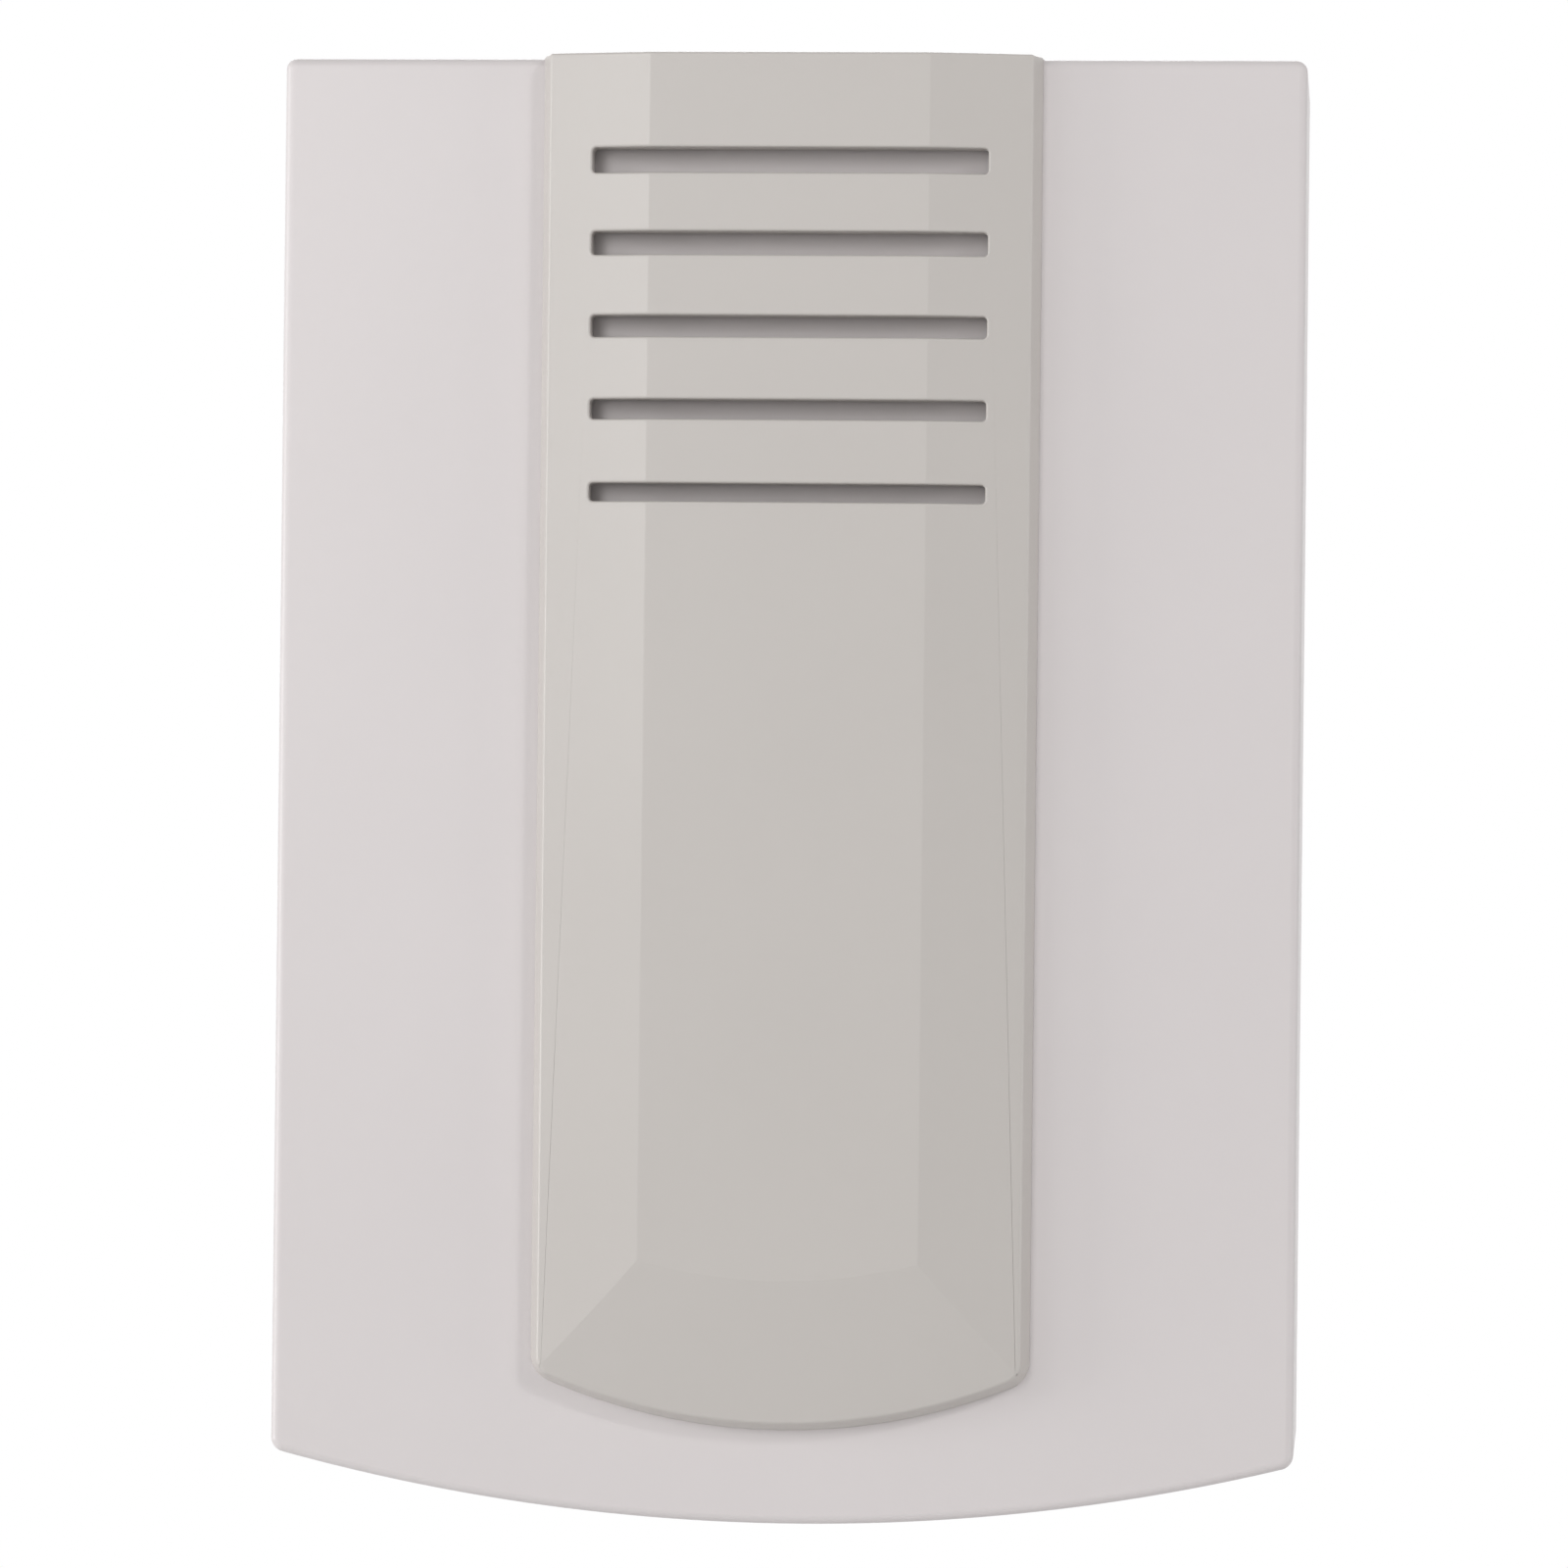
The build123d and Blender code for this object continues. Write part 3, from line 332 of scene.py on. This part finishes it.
materials = {
    "cover_plastic": satin_plastic("cover_plastic", (0.697, 0.655, 0.654), 0.42, 2300, 9e-6, polish=0.15),
    "panel_plastic": satin_plastic("panel_plastic", (0.559, 0.527, 0.500), 0.40, 2300, 9e-6, polish=0.15),
    "base_plastic": satin_plastic("base_plastic", (0.66, 0.64, 0.61), 0.45, 1500, 12e-6),
    "black_rubber": satin_plastic("black_rubber", (0.016, 0.016, 0.017), 0.72, 1800, 20e-6, tint=1.5),
    "grey_rubber": satin_plastic("grey_rubber", (0.07, 0.07, 0.074), 0.68, 1800, 20e-6, tint=1.4),
    "white_nylon": satin_plastic("white_nylon", (0.80, 0.78, 0.72), 0.32, 900, 8e-6),
    "bobbin_nylon": satin_plastic("bobbin_nylon", (0.018, 0.018, 0.02), 0.38, 1200, 10e-6, tint=1.4),
    "terminal_plastic": satin_plastic("terminal_plastic", (0.028, 0.028, 0.031), 0.4, 1200, 10e-6, tint=1.3),
    "nickel_strip": metal("nickel_strip", (0.66, 0.64, 0.60), 0.26, (1, 1, 12), 900, 3e-6),
    "spring_steel": metal("spring_steel", (0.55, 0.55, 0.56), 0.22, (1, 1, 1), 3000, 3e-6),
    "tone_steel": metal("tone_steel", (0.62, 0.64, 0.66), 0.27, (1, 60, 1), 150, 5e-6, (0.60, 0.61, 0.58)),
    "zinc_steel": metal("zinc_steel", (0.58, 0.60, 0.62), 0.34, (1, 1, 1), 1100, 6e-6, (0.56, 0.56, 0.50)),
    "plunger_steel": metal("plunger_steel", (0.50, 0.50, 0.50), 0.2, (40, 1, 1), 220, 4e-6),
    "screw_steel": metal("screw_steel", (0.62, 0.62, 0.60), 0.28, (1, 1, 1), 1600, 4e-6),
    "brass": metal("brass", (0.72, 0.50, 0.20), 0.3, (1, 1, 18), 700, 4e-6),
    "copper_wire": metal("copper_wire", (0.62, 0.22, 0.09), 0.24, (1, 1, 1), 1500, 3e-6, (0.50, 0.15, 0.06)),
    "bare_copper": metal("bare_copper", (0.78, 0.36, 0.20), 0.28, (1, 1, 1), 1500, 3e-6),
    "red_insulation": satin_plastic("red_insulation", (0.42, 0.015, 0.015), 0.33, 700, 6e-6, tint=0.9),
    "black_insulation": satin_plastic("black_insulation", (0.012, 0.012, 0.012), 0.33, 700, 6e-6, tint=1.5),
    "copper_lead_sleeve": satin_plastic("copper_lead_sleeve", (0.52, 0.28, 0.03), 0.36, 700, 6e-6, tint=0.9),
    "solder": metal("solder", (0.62, 0.62, 0.63), 0.2, (1, 1, 1), 800, 10e-6),
}


def dress(piece, finish, body):
    """Gives a finished shape its material and the body that it moves with."""
    piece.data.materials.clear()
    piece.data.materials.append(materials[finish])
    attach(piece, body)


def bowed_block(name, half, top, bow_radius, corner, near_depth, far_depth, widening):
    """A block with a bowed foot, as wide as given at its far face and a little wider at its near one."""
    foot = BOW_CENTRE - bow_radius
    piece = bar(name, (-half, near_depth, foot), (half, far_depth, top))
    choose_edges(piece, lambda a, b: near(a.z, foot) and near(b.z, foot) and near(a.y, b.y))
    bpy.ops.mesh.subdivide(number_cuts=47)
    finish_edit()
    for point in piece.data.vertices:
        if near(point.co.z, foot):
            point.co.z = BOW_CENTRE - sqrt(bow_radius**2 - point.co.x**2)
    choose_edges(piece, lambda a, b: near(abs(a.x), half) and near(a.x, b.x) and near(a.z, b.z))
    round_chosen(corner, segments=6)
    choose_faces(piece, lambda centre, normal: normal.y > 0.99)
    grow = 1 + widening / half, 1, 1 + widening / top
    bpy.ops.transform.resize(value=grow, center_override=(0, 0, 0))
    finish_edit()
    return piece


def peg_socket(x, z):
    """A tube on four gussets inside the cover, that grips one of the back plate's pegs."""
    mouth, root = 22.0 * MM, 42.6 * MM
    outside, inside, bottom = 4.58 * MM, 2.58 * MM, 41.75 * MM
    socket = rod("socket", outside, (x, mouth, z), (x, root, z))
    choose_edges(socket, lambda a, b: near(a.y, -mouth) and near(b.y, -mouth))
    round_chosen(0.4 * MM)
    reach, half, fin_top, taper = 8.0 * MM, 0.6 * MM, 33.0 * MM, 0.55
    for across, up in ((reach, half), (half, reach)):
        fin = bar("fin", (x - across, fin_top, z - up), (x + across, root, z + up))
        choose_faces(fin, lambda centre, normal: normal.y > 0.99)
        narrow = (taper, 1, 1) if across > up else (1, 1, taper)
        bpy.ops.transform.resize(value=narrow, center_override=(x, 0, z))
        finish_edit()
        combine(socket, fin, "UNION")
    bore = rod("bore", inside, (x, mouth - MM, z), (x, bottom, z))
    return combine(socket, bore, "DIFFERENCE")


def add_rib(cover, low, high):
    """A low stiffening rib on the inside of the cover's face, rounded along its top."""
    rib = bar("rib", (low[0], RIB_TOP, low[1]), (high[0], RIB_ROOT, high[1]))
    choose_edges(rib, lambda a, b: near(a.y, -RIB_TOP) and near(b.y, -RIB_TOP))
    round_chosen(RIB_ROUND)
    combine(cover, rib, "UNION")


def make_cover():
    corner, inner_corner = 1.5 * MM, 0.8 * MM
    cover = bowed_block(
        "front_cover_shell", CASE_HALF, CASE_TOP, BOW_RADIUS, corner, RIM_DEPTH, FACE_DEPTH, FLARE
    )
    choose_edges(cover, lambda a, b: near(a.y, -FACE_DEPTH) and near(b.y, -FACE_DEPTH))
    round_chosen(1.2 * MM, segments=6)
    inset = COVER_WALL - 0.02 * MM
    half, top, bow = CASE_HALF - inset, CASE_TOP - inset, BOW_RADIUS - inset
    hollow = bowed_block("hollow", half, top, bow, inner_corner, -RIM_DEPTH, INSIDE_DEPTH, FLARE)
    combine(cover, hollow, "DIFFERENCE")
    choose_edges(cover, lambda a, b: near(a.y, -RIM_DEPTH) and near(b.y, -RIM_DEPTH))
    round_chosen(0.35 * MM)
    seat_half, seat_depth, seat_foot = 34.2 * MM, 42.8 * MM, 98.5 * MM
    seat = bar("seat", (-seat_half, seat_depth, seat_foot), (seat_half, FACE_DEPTH, CASE_TOP))
    combine(cover, seat, "UNION")
    for x in (-31.0 * MM, 31.0 * MM):
        add_rib(cover, (x - RIB_HALF, -86.0 * MM), (x + RIB_HALF, 92.0 * MM))
    for z in (8.0 * MM, -40.0 * MM, -78.0 * MM):
        add_rib(cover, (-62.0 * MM, z - RIB_HALF), (62.0 * MM, z + RIB_HALF))
    for x, z in SOCKETS:
        combine(cover, peg_socket(x, z), "UNION")
    half, up, inner, outer = 25.0 * MM, 2.3 * MM, 40.0 * MM, 45.0 * MM
    for z in HIDDEN_SLOTS:
        slot = bar("slot", (-half, inner, z - up), (half, outer, z + up))
        choose_edges(slot, lambda a, b: near(a.x, b.x) and near(a.z, b.z))
        round_chosen(0.6 * MM)
        combine(cover, slot, "DIFFERENCE")
    for x, z in STAKES:
        hole = rod("hole", 1.7 * MM, (x, inner, z), (x, outer, z), sides=32)
        combine(cover, hole, "DIFFERENCE")
    shade(cover)
    dress(cover, "cover_plastic", "cover")
    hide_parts("front_cover")


make_cover()


def engrave_polarity(cradle):
    """Sunk plus and minus marks in the floors of the two cell channels."""
    long, short, floor, above = 2.5 * MM, 0.55 * MM, 3.4 * MM, 8.0 * MM
    left, right, upper, lower = -14.2 * MM, 14.2 * MM, 2.0 * MM, -70.0 * MM
    marks = ((left, upper, True), (left, lower, False), (right, upper, False), (right, lower, True))
    for x, z, plus in marks:
        mark = bar("mark", (x - long, floor, z - short), (x + long, above, z + short))
        if plus:
            upright = bar("upright", (x - short, floor, z - long), (x + short, above, z + long))
            combine(mark, upright, "UNION")
        combine(cradle, mark, "DIFFERENCE")


def mark_back_plate(plate):
    """Round ejector marks in the front of the back plate."""
    radius, floor, above = 2.4 * MM, 2.3 * MM, 5.0 * MM
    for x in (-46.0 * MM, 46.0 * MM):
        for z in (-72.0 * MM, -8.0 * MM, 14.0 * MM):
            mark = rod("mark", radius, (x, floor, z), (x, above, z))
            combine(plate, mark, "DIFFERENCE")


def round_facet_lines(panel):
    """Takes the knife edge off the shallow lines where the panel's front facets meet."""
    fronts = {}
    for face in panel.data.polygons:
        if face.normal.y < -0.9:
            for key in face.edge_keys:
                fronts.setdefault(key, []).append(face.normal.copy())
    pairs = {key: pair for key, pair in fronts.items() if len(pair) == 2}
    lines = {key for key, pair in pairs.items() if pair[0].angle(pair[1]) > radians(4)}
    choose_edges(panel, lambda a, b: False)
    finish_edit()
    for edge in panel.data.edges:
        edge.select = edge.key in lines
    bpy.ops.object.mode_set(mode="EDIT")
    round_chosen(0.15 * MM, segments=2)


def slot_collar(z, height):
    """A short wall round the back of a sound slot, from inside the panel's shell towards the cover."""
    wall, gap = 0.9 * MM, 0.03 * MM
    near_depth, far_depth = FACE_DEPTH + 1.1 * MM, PLATEAU_DEPTH - MM
    outer, up = SLOT_HALF + wall, height / 2 + wall
    collar = bar("slot_collar", (-outer, near_depth, z - up), (outer, far_depth, z + up))
    for x in (-PLATEAU_HALF, PLATEAU_HALF):
        edit_all(collar)
        bpy.ops.mesh.bisect(plane_co=(x, 0, 0), plane_no=(1, 0, 0))
        finish_edit()
    for point in collar.data.vertices:
        beyond = abs(point.co.x) - PLATEAU_HALF
        if near(point.co.y, -far_depth) and beyond > 0.1 * MM:
            point.co.y += beyond * FACET_FALL
    choose_edges(collar, lambda a, b: near(a.y, -near_depth) and near(b.y, -near_depth))
    round_chosen(0.3 * MM)
    half, reach = SLOT_HALF + gap, height / 2 + gap
    opening = bar("opening", (-half, FACE_DEPTH, z - reach), (half, PLATEAU_DEPTH, z + reach))
    choose_edges(opening, lambda a, b: near(a.x, b.x) and near(a.z, b.z))
    round_chosen(0.6 * MM)
    combine(collar, opening, "DIFFERENCE")
    shade(collar)
    dress(collar, "panel_plastic", "cover")


for z, height in SOUND_SLOTS:
    slot_collar(z, height)


def soften(node, slot, edge, before=None, after=None):
    """A copy of a CAD node, with its triangles merged into whole faces and its edges rounded."""
    source = frame["nodes"][node]
    piece = bpy.data.objects.new(f"{node}_finish", source.data.copy())
    bpy.context.scene.collection.objects.link(piece)
    edit_all(piece)
    bpy.ops.mesh.remove_doubles(threshold=2e-6)
    bpy.ops.mesh.customdata_custom_splitnormals_clear()
    bpy.ops.mesh.dissolve_limited(angle_limit=radians(0.3))
    finish_edit()
    if before:
        before(piece)
    edit_all(piece)
    bpy.ops.mesh.select_mode(type="EDGE")
    bpy.ops.mesh.select_all(action="DESELECT")
    bpy.ops.mesh.edges_select_sharp(sharpness=radians(30))
    round_chosen(edge)
    if after:
        after(piece)
    shade(piece)
    dress(piece, slot, source["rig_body"])
    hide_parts(node)


FINISHES = {
    "grille_panel": ("panel_plastic", 0.36 * MM, round_facet_lines),
    "back_plate": ("base_plastic", 0.15 * MM, None, mark_back_plate),
    "cable_grommet": ("black_rubber", 0.30 * MM),
    "battery_cradle": ("base_plastic", 0.15 * MM, None, engrave_polarity),
    "contact_positive": ("nickel_strip", 0.08 * MM),
    "contact_negative": ("nickel_strip", 0.08 * MM),
    "contact_link": ("nickel_strip", 0.08 * MM),
    "tone_plate_high": ("tone_steel", 0.20 * MM),
    "tone_plate_low": ("tone_steel", 0.20 * MM),
    "tone_plate_grommets": ("grey_rubber", 0.12 * MM),
    "tone_plate_pins": ("white_nylon", 0.15 * MM),
    "solenoid_bobbin": ("bobbin_nylon", 0.15 * MM),
    "pole_plate_left": ("zinc_steel", 0.12 * MM),
    "pole_plate_right": ("zinc_steel", 0.12 * MM),
    "yoke_strip": ("zinc_steel", 0.12 * MM),
    "plunger": ("plunger_steel", 0.08 * MM),
    "striker_tip_left": ("white_nylon", 0.10 * MM),
    "striker_tip_right": ("white_nylon", 0.10 * MM),
    "spring_clip": ("spring_steel", 0.08 * MM),
    "terminal_block": ("terminal_plastic", 0.20 * MM),
    "terminal_clamps": ("brass", 0.15 * MM),
    "terminal_screws": ("zinc_steel", 0.10 * MM),
    "fixing_screws": ("screw_steel", 0.12 * MM),
}
for node, finish in FINISHES.items():
    soften(node, *finish)


def wire(name, points, radius, kind="NURBS", part=(0.0, 1.0), sides=3):
    """A round wire along points, as a mesh. Part is the share of its length that is kept."""
    curve = bpy.data.curves.new(name, "CURVE")
    curve.dimensions = "3D"
    curve.bevel_depth = radius
    curve.bevel_resolution = sides
    curve.use_fill_caps = True
    curve.bevel_factor_mapping_start = "SPLINE"
    curve.bevel_factor_mapping_end = "SPLINE"
    curve.bevel_factor_start, curve.bevel_factor_end = part
    spline = curve.splines.new(kind)
    spline.points.add(len(points) - 1)
    for knot, point in zip(spline.points, points):
        knot.co = (*point, 1.0)
    if kind == "NURBS":
        spline.order_u = 3
        spline.use_endpoint_u = True
        spline.resolution_u = 10
    piece = bpy.data.objects.new(name, curve)
    bpy.context.scene.collection.objects.link(piece)
    pick(piece)
    bpy.ops.object.convert(target="MESH")
    bpy.ops.object.shade_smooth_by_angle(angle=radians(50))
    return bpy.context.object


def coil_points(start, along, radius, legs, per_turn=28):
    """Points of a coil. Each leg is a number of turns and the height and radius it ends at."""
    side = along.orthogonal().normalized()
    other = along.cross(side)

    def point_at(rise, reach, angle):
        return start + along * rise + side * reach * cos(angle) + other * reach * sin(angle)

    points = []
    angle = height = 0.0
    for turns, end_height, end_radius in legs:
        steps = round(turns * per_turn)
        for step in range(steps):
            share = step / steps
            rise = height + (end_height - height) * share
            reach = radius + (end_radius - radius) * share
            points.append(point_at(rise, reach, angle + tau * turns * share))
        angle += tau * turns
        height, radius = end_height, end_radius
    points.append(point_at(height, radius, angle))
    return points


def make_return_spring():
    """A compression spring with a closed turn at each end, between the solenoid and the clip."""
    thick, closed, reach = 0.3 * MM, 0.62 * MM, 5.0 * MM
    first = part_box("pole_plate_right")[1].x + thick
    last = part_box("spring_clip")[0].x - thick
    length = last - first
    legs = [(1.0, closed, reach), (5.0, length - closed, reach), (1.0, length, reach)]
    start = Vector((first, -STRIKER_DEPTH, STRIKER_Z))
    points = coil_points(start, Vector((1, 0, 0)), reach, legs)
    spring = wire("return_spring_wire", points, thick, kind="POLY")
    spring.data.materials.append(materials["spring_steel"])
    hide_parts("return_spring")
    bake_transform(spring)


def make_cell_spring(node, seat_z, up):
    """A conical cell spring with a flat turn at its foot and a small closed one at its tip."""
    low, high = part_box(node)
    thick = 0.45 * MM
    x, y = (low.x + high.x) / 2, (low.y + high.y) / 2
    start = Vector((x, y, seat_z + up * thick))
    legs = [
        (0.9, 0.15 * MM, 6.35 * MM),
        (3.2, 9.6 * MM, 3.5 * MM),
        (0.8, 10.0 * MM, 3.35 * MM),
    ]
    points = coil_points(start, Vector((0, 0, up)), 6.5 * MM, legs)
    spring = wire(f"{node}_wire", points, thick, kind="POLY")
    dress(spring, "nickel_strip", "base")
    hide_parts(node)


make_return_spring()
make_cell_spring("cell_spring_lower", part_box("contact_link")[0].z + 0.4 * MM, 1)
make_cell_spring("cell_spring_upper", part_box("contact_negative")[0].z, -1)


def make_winding():
    """One visible layer of enamelled wire over the turns beneath it, which are a plain core."""
    low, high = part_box("solenoid_winding")
    thick, pitch, gap, inside = 0.3 * MM, 0.62 * MM, 0.01 * MM, 5.52 * MM
    first = low.x + thick + gap
    last = high.x - thick - gap
    turns = (last - first) / pitch
    reach = (high.z - low.z) / 2 - thick
    start = Vector((first, -STRIKER_DEPTH, STRIKER_Z))
    legs = [(turns, last - first, reach)]
    points = coil_points(start, Vector((1, 0, 0)), reach, legs, per_turn=24)
    layer = wire("winding_layer", points, thick, kind="POLY")
    dress(layer, "copper_wire", "base")
    axis = STRIKER_DEPTH, STRIKER_Z
    core = rod("winding_core", reach, (low.x, *axis), (high.x, *axis), sides=64)
    bore = rod("bore", inside, (low.x - MM, *axis), (high.x + MM, *axis))
    combine(core, bore, "DIFFERENCE")
    shade(core)
    dress(core, "copper_wire", "base")
    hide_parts("solenoid_winding")


make_winding()


def make_lead(node, finish, route, bare_start, bare_end):
    """A sleeved lead whose copper shows at both ends. The route is in points of an x, a depth and a z."""
    points = [Vector((x, -depth, z)) for x, depth, z in route]
    length = sum((b - a).length for a, b in zip(points, points[1:]))
    copper = wire(f"{node}_copper", points, COPPER_RADIUS, sides=2)
    dress(copper, "bare_copper", "base")
    covered = (bare_start / length, 1 - bare_end / length)
    sleeve = wire(f"{node}_sleeve", points, SLEEVE_RADIUS, part=covered)
    dress(sleeve, finish, "base")
    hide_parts(node)


def terminal_heights():
    """The z at which a lead goes into the terminal block, and the z at which it ends there."""
    low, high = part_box("terminal_block")
    return low.z, (low.z + high.z) / 2 + 1.5 * MM


def battery_lead(node, contact, side, terminal_x, finish):
    """From a contact's tag, round the end of the solenoid under its hook, up to a terminal."""
    contact_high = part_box(contact)[1]
    tag_x = 25.0 * MM
    tag_z = contact_high.z - 0.6 * MM
    tag_depth = 0.2 * MM - contact_high.y
    entry_z, end_z = terminal_heights()
    hook_x, low = 42.0 * MM, 3.2 * MM
    route = [
        (side * tag_x, tag_depth, tag_z),
        (side * (tag_x + 6.0 * MM), tag_depth, tag_z + 0.3 * MM),
        (side * (hook_x - 1.5 * MM), low + 1.5 * MM, tag_z + 6.0 * MM),
        (side * hook_x, low, STRIKER_Z - 6.0 * MM),
        (side * hook_x, low, STRIKER_Z + 8.0 * MM),
        (side * (hook_x - 4.5 * MM), low, entry_z - 4.5 * MM),
        ((side * hook_x + terminal_x) / 2, low + 0.6 * MM, entry_z - 3.0 * MM),
        (terminal_x + side * 4.5 * MM, low + 2.4 * MM, entry_z - 4.5 * MM),
        (terminal_x, TERMINAL_DEPTH, entry_z - 1.2 * MM),
        (terminal_x, TERMINAL_DEPTH, end_z),
    ]
    make_lead(node, finish, route, 2.0 * MM, end_z - entry_z + 0.6 * MM)
    solder_joint(f"{node}_joint", side * (tag_x - 0.9 * MM), tag_depth + 0.2 * MM, tag_z)


def solder_joint(name, x, depth, z):
    """A bead of solder that has run out over the tag and up the wire."""
    place = (x, -depth, z)
    bpy.ops.mesh.primitive_uv_sphere_add(segments=24, ring_count=12, radius=1.0 * MM, location=place)
    bead = settle(bpy.context.object, name)
    choose_faces(bead, lambda centre, normal: centre.x * x > x * x)
    bpy.ops.transform.resize(value=(1.5, 0.75, 0.75), center_override=place)
    finish_edit()
    edit_all(bead)
    bpy.ops.transform.resize(value=(1.0, 0.75, 0.72), center_override=place)
    bpy.ops.mesh.vertices_smooth(factor=0.4, repeat=2)
    finish_edit()
    pick(bead)
    bpy.ops.object.shade_smooth()
    dress(bead, "solder", "base")


def coil_lead(node, start_x, terminal_x):
    """From inside the winding, up between the flanges and back to a terminal."""
    entry_z, end_z = terminal_heights()
    flange_top = STRIKER_Z + 12.0 * MM
    route = [
        (start_x, 15.0 * MM, STRIKER_Z + 6.78 * MM),
        (start_x, 14.7 * MM, flange_top + 1.2 * MM),
        ((start_x + terminal_x) / 2, 9.2 * MM, (flange_top + entry_z) / 2),
        (terminal_x, TERMINAL_DEPTH, entry_z - 1.2 * MM),
        (terminal_x, TERMINAL_DEPTH, end_z),
    ]
    make_lead(node, "copper_lead_sleeve", route, 0.5 * MM, end_z - entry_z + 0.6 * MM)


battery_lead("battery_lead_positive", "contact_positive", -1, -10.0 * MM, "red_insulation")
battery_lead("battery_lead_negative", "contact_negative", 1, 10.65 * MM, "black_insulation")
coil_lead("coil_lead_push", 2.5 * MM, 0.0)
coil_lead("coil_lead_common", 7.5 * MM, 9.35 * MM)


def light_panel(name, place, width, height, watts):
    """A soft box that faces the case."""
    data = bpy.data.lights.new(name, "AREA")
    data.shape = "RECTANGLE"
    data.size = width
    data.size_y = height
    data.energy = watts
    lamp = bpy.data.objects.new(name, data)
    lamp.location = place
    lamp.rotation_euler = (LIGHT_AIM - Vector(place)).to_track_quat("-Z", "Y").to_euler()
    bpy.context.scene.collection.objects.link(lamp)


light_panel("key_light", (-0.43, -1.17, 0.29), 0.36, 0.56, 3.6)
light_panel("upper_left_light", (-0.98, -0.77, 0.42), 0.5, 0.36, 1.9)
light_panel("left_side_light", (-1.17, -0.27, 0.0), 0.4, 0.8, 5.8)
light_panel("small_right_light", (0.83, -1.0, 0.75), 0.12, 0.12, 2.5)
light_panel("soft_right_light", (0.83, -0.93, 0.5), 0.4, 0.5, 2.0)
light_panel("right_side_light", (1.17, -0.27, 0.0), 0.4, 0.8, 1.8)
light_panel("back_light", (0.0, 1.05, 0.6), 1.0, 0.5, 4.5)


def add_math(tree, operation, first, second):
    """The two values under one operation. Each may be another node's output or a number."""
    node = tree.nodes.new("ShaderNodeMath")
    node.operation = operation
    for socket, value in zip(node.inputs, (first, second)):
        if isinstance(value, bpy.types.NodeSocket):
            tree.links.new(value, socket)
        else:
            socket.default_value = value
    return node.outputs["Value"]


def seen_by_eye(tree):
    """1 for what the camera sees, straight or in a mirror or through glass, and 0 for plain light."""
    path = tree.nodes.new("ShaderNodeLightPath").outputs
    mirrored = add_math(tree, "MAXIMUM", path["Is Glossy Ray"], path["Is Transmission Ray"])
    return add_math(tree, "MAXIMUM", path["Is Camera Ray"], mirrored)


def set_world(ambient):
    """White to the eye, and a soft even light on the object."""
    world = bpy.data.worlds.new("studio")
    bpy.context.scene.world = world
    world.use_nodes = True
    tree = world.node_tree
    background = next(n for n in tree.nodes if n.type == "BACKGROUND")
    background.inputs["Color"].default_value = (1.0, 1.0, 1.0, 1.0)
    strength = add_math(tree, "MULTIPLY", seen_by_eye(tree), 1.0 - ambient)
    tree.links.new(add_math(tree, "ADD", strength, ambient), background.inputs["Strength"])


def make_floor():
    """A round pale floor below the chime, that turns to the white of the background away from it."""
    place = (0, 0, FLOOR_Z)
    bpy.ops.mesh.primitive_circle_add(vertices=96, radius=FLOOR_RADIUS, fill_type="NGON", location=place)
    floor = settle(bpy.context.object, "floor")
    edit_all(floor)
    bpy.ops.mesh.inset(thickness=FLOOR_RIM)
    finish_edit()
    material = new_material("pale_floor", (0.86, 0.86, 0.86), 0.7)
    tree = material.node_tree
    away = add_node(material, "ShaderNodeVectorMath", operation="LENGTH")
    tree.links.new(object_pattern(material, (1.0, 1.0, 0.0)), away.inputs[0])
    fade = spread(material, away.outputs["Value"], 0.0, 1.0, start=FADE_START, end=FADE_END)
    glow = add_node(material, "ShaderNodeEmission", Strength=1.0)
    mixed = tree.nodes.new("ShaderNodeMixShader")
    tree.links.new(add_math(tree, "MULTIPLY", fade, seen_by_eye(tree)), mixed.inputs[0])
    tree.links.new(shader_of(material).outputs["BSDF"], mixed.inputs[1])
    tree.links.new(glow.outputs["Emission"], mixed.inputs[2])
    output = next(n for n in tree.nodes if n.type == "OUTPUT_MATERIAL")
    tree.links.new(mixed.outputs["Shader"], output.inputs["Surface"])
    floor.data.materials.append(material)


set_world(AMBIENT)
make_floor()

camera_data = bpy.data.cameras.new("camera")
camera_data.sensor_width = SENSOR_WIDTH
camera_data.lens = SENSOR_WIDTH * FOCAL_PIXELS / FRAME_PIXELS
camera_data.clip_start = CLIP_NEAR
camera_data.clip_end = CLIP_FAR
camera = bpy.data.objects.new("camera", camera_data)
turn = Matrix.Rotation(CAMERA_YAW, 3, "Z") @ Matrix.Rotation(radians(90) + CAMERA_PITCH, 3, "X")
turn = turn @ Matrix.Rotation(-CAMERA_ROLL, 3, "Z")
camera.rotation_euler = turn.to_euler()
camera.location = CAMERA_PLACE
bpy.context.scene.collection.objects.link(camera)
bpy.context.scene.camera = camera
bpy.context.scene.view_settings.view_transform = "Standard"
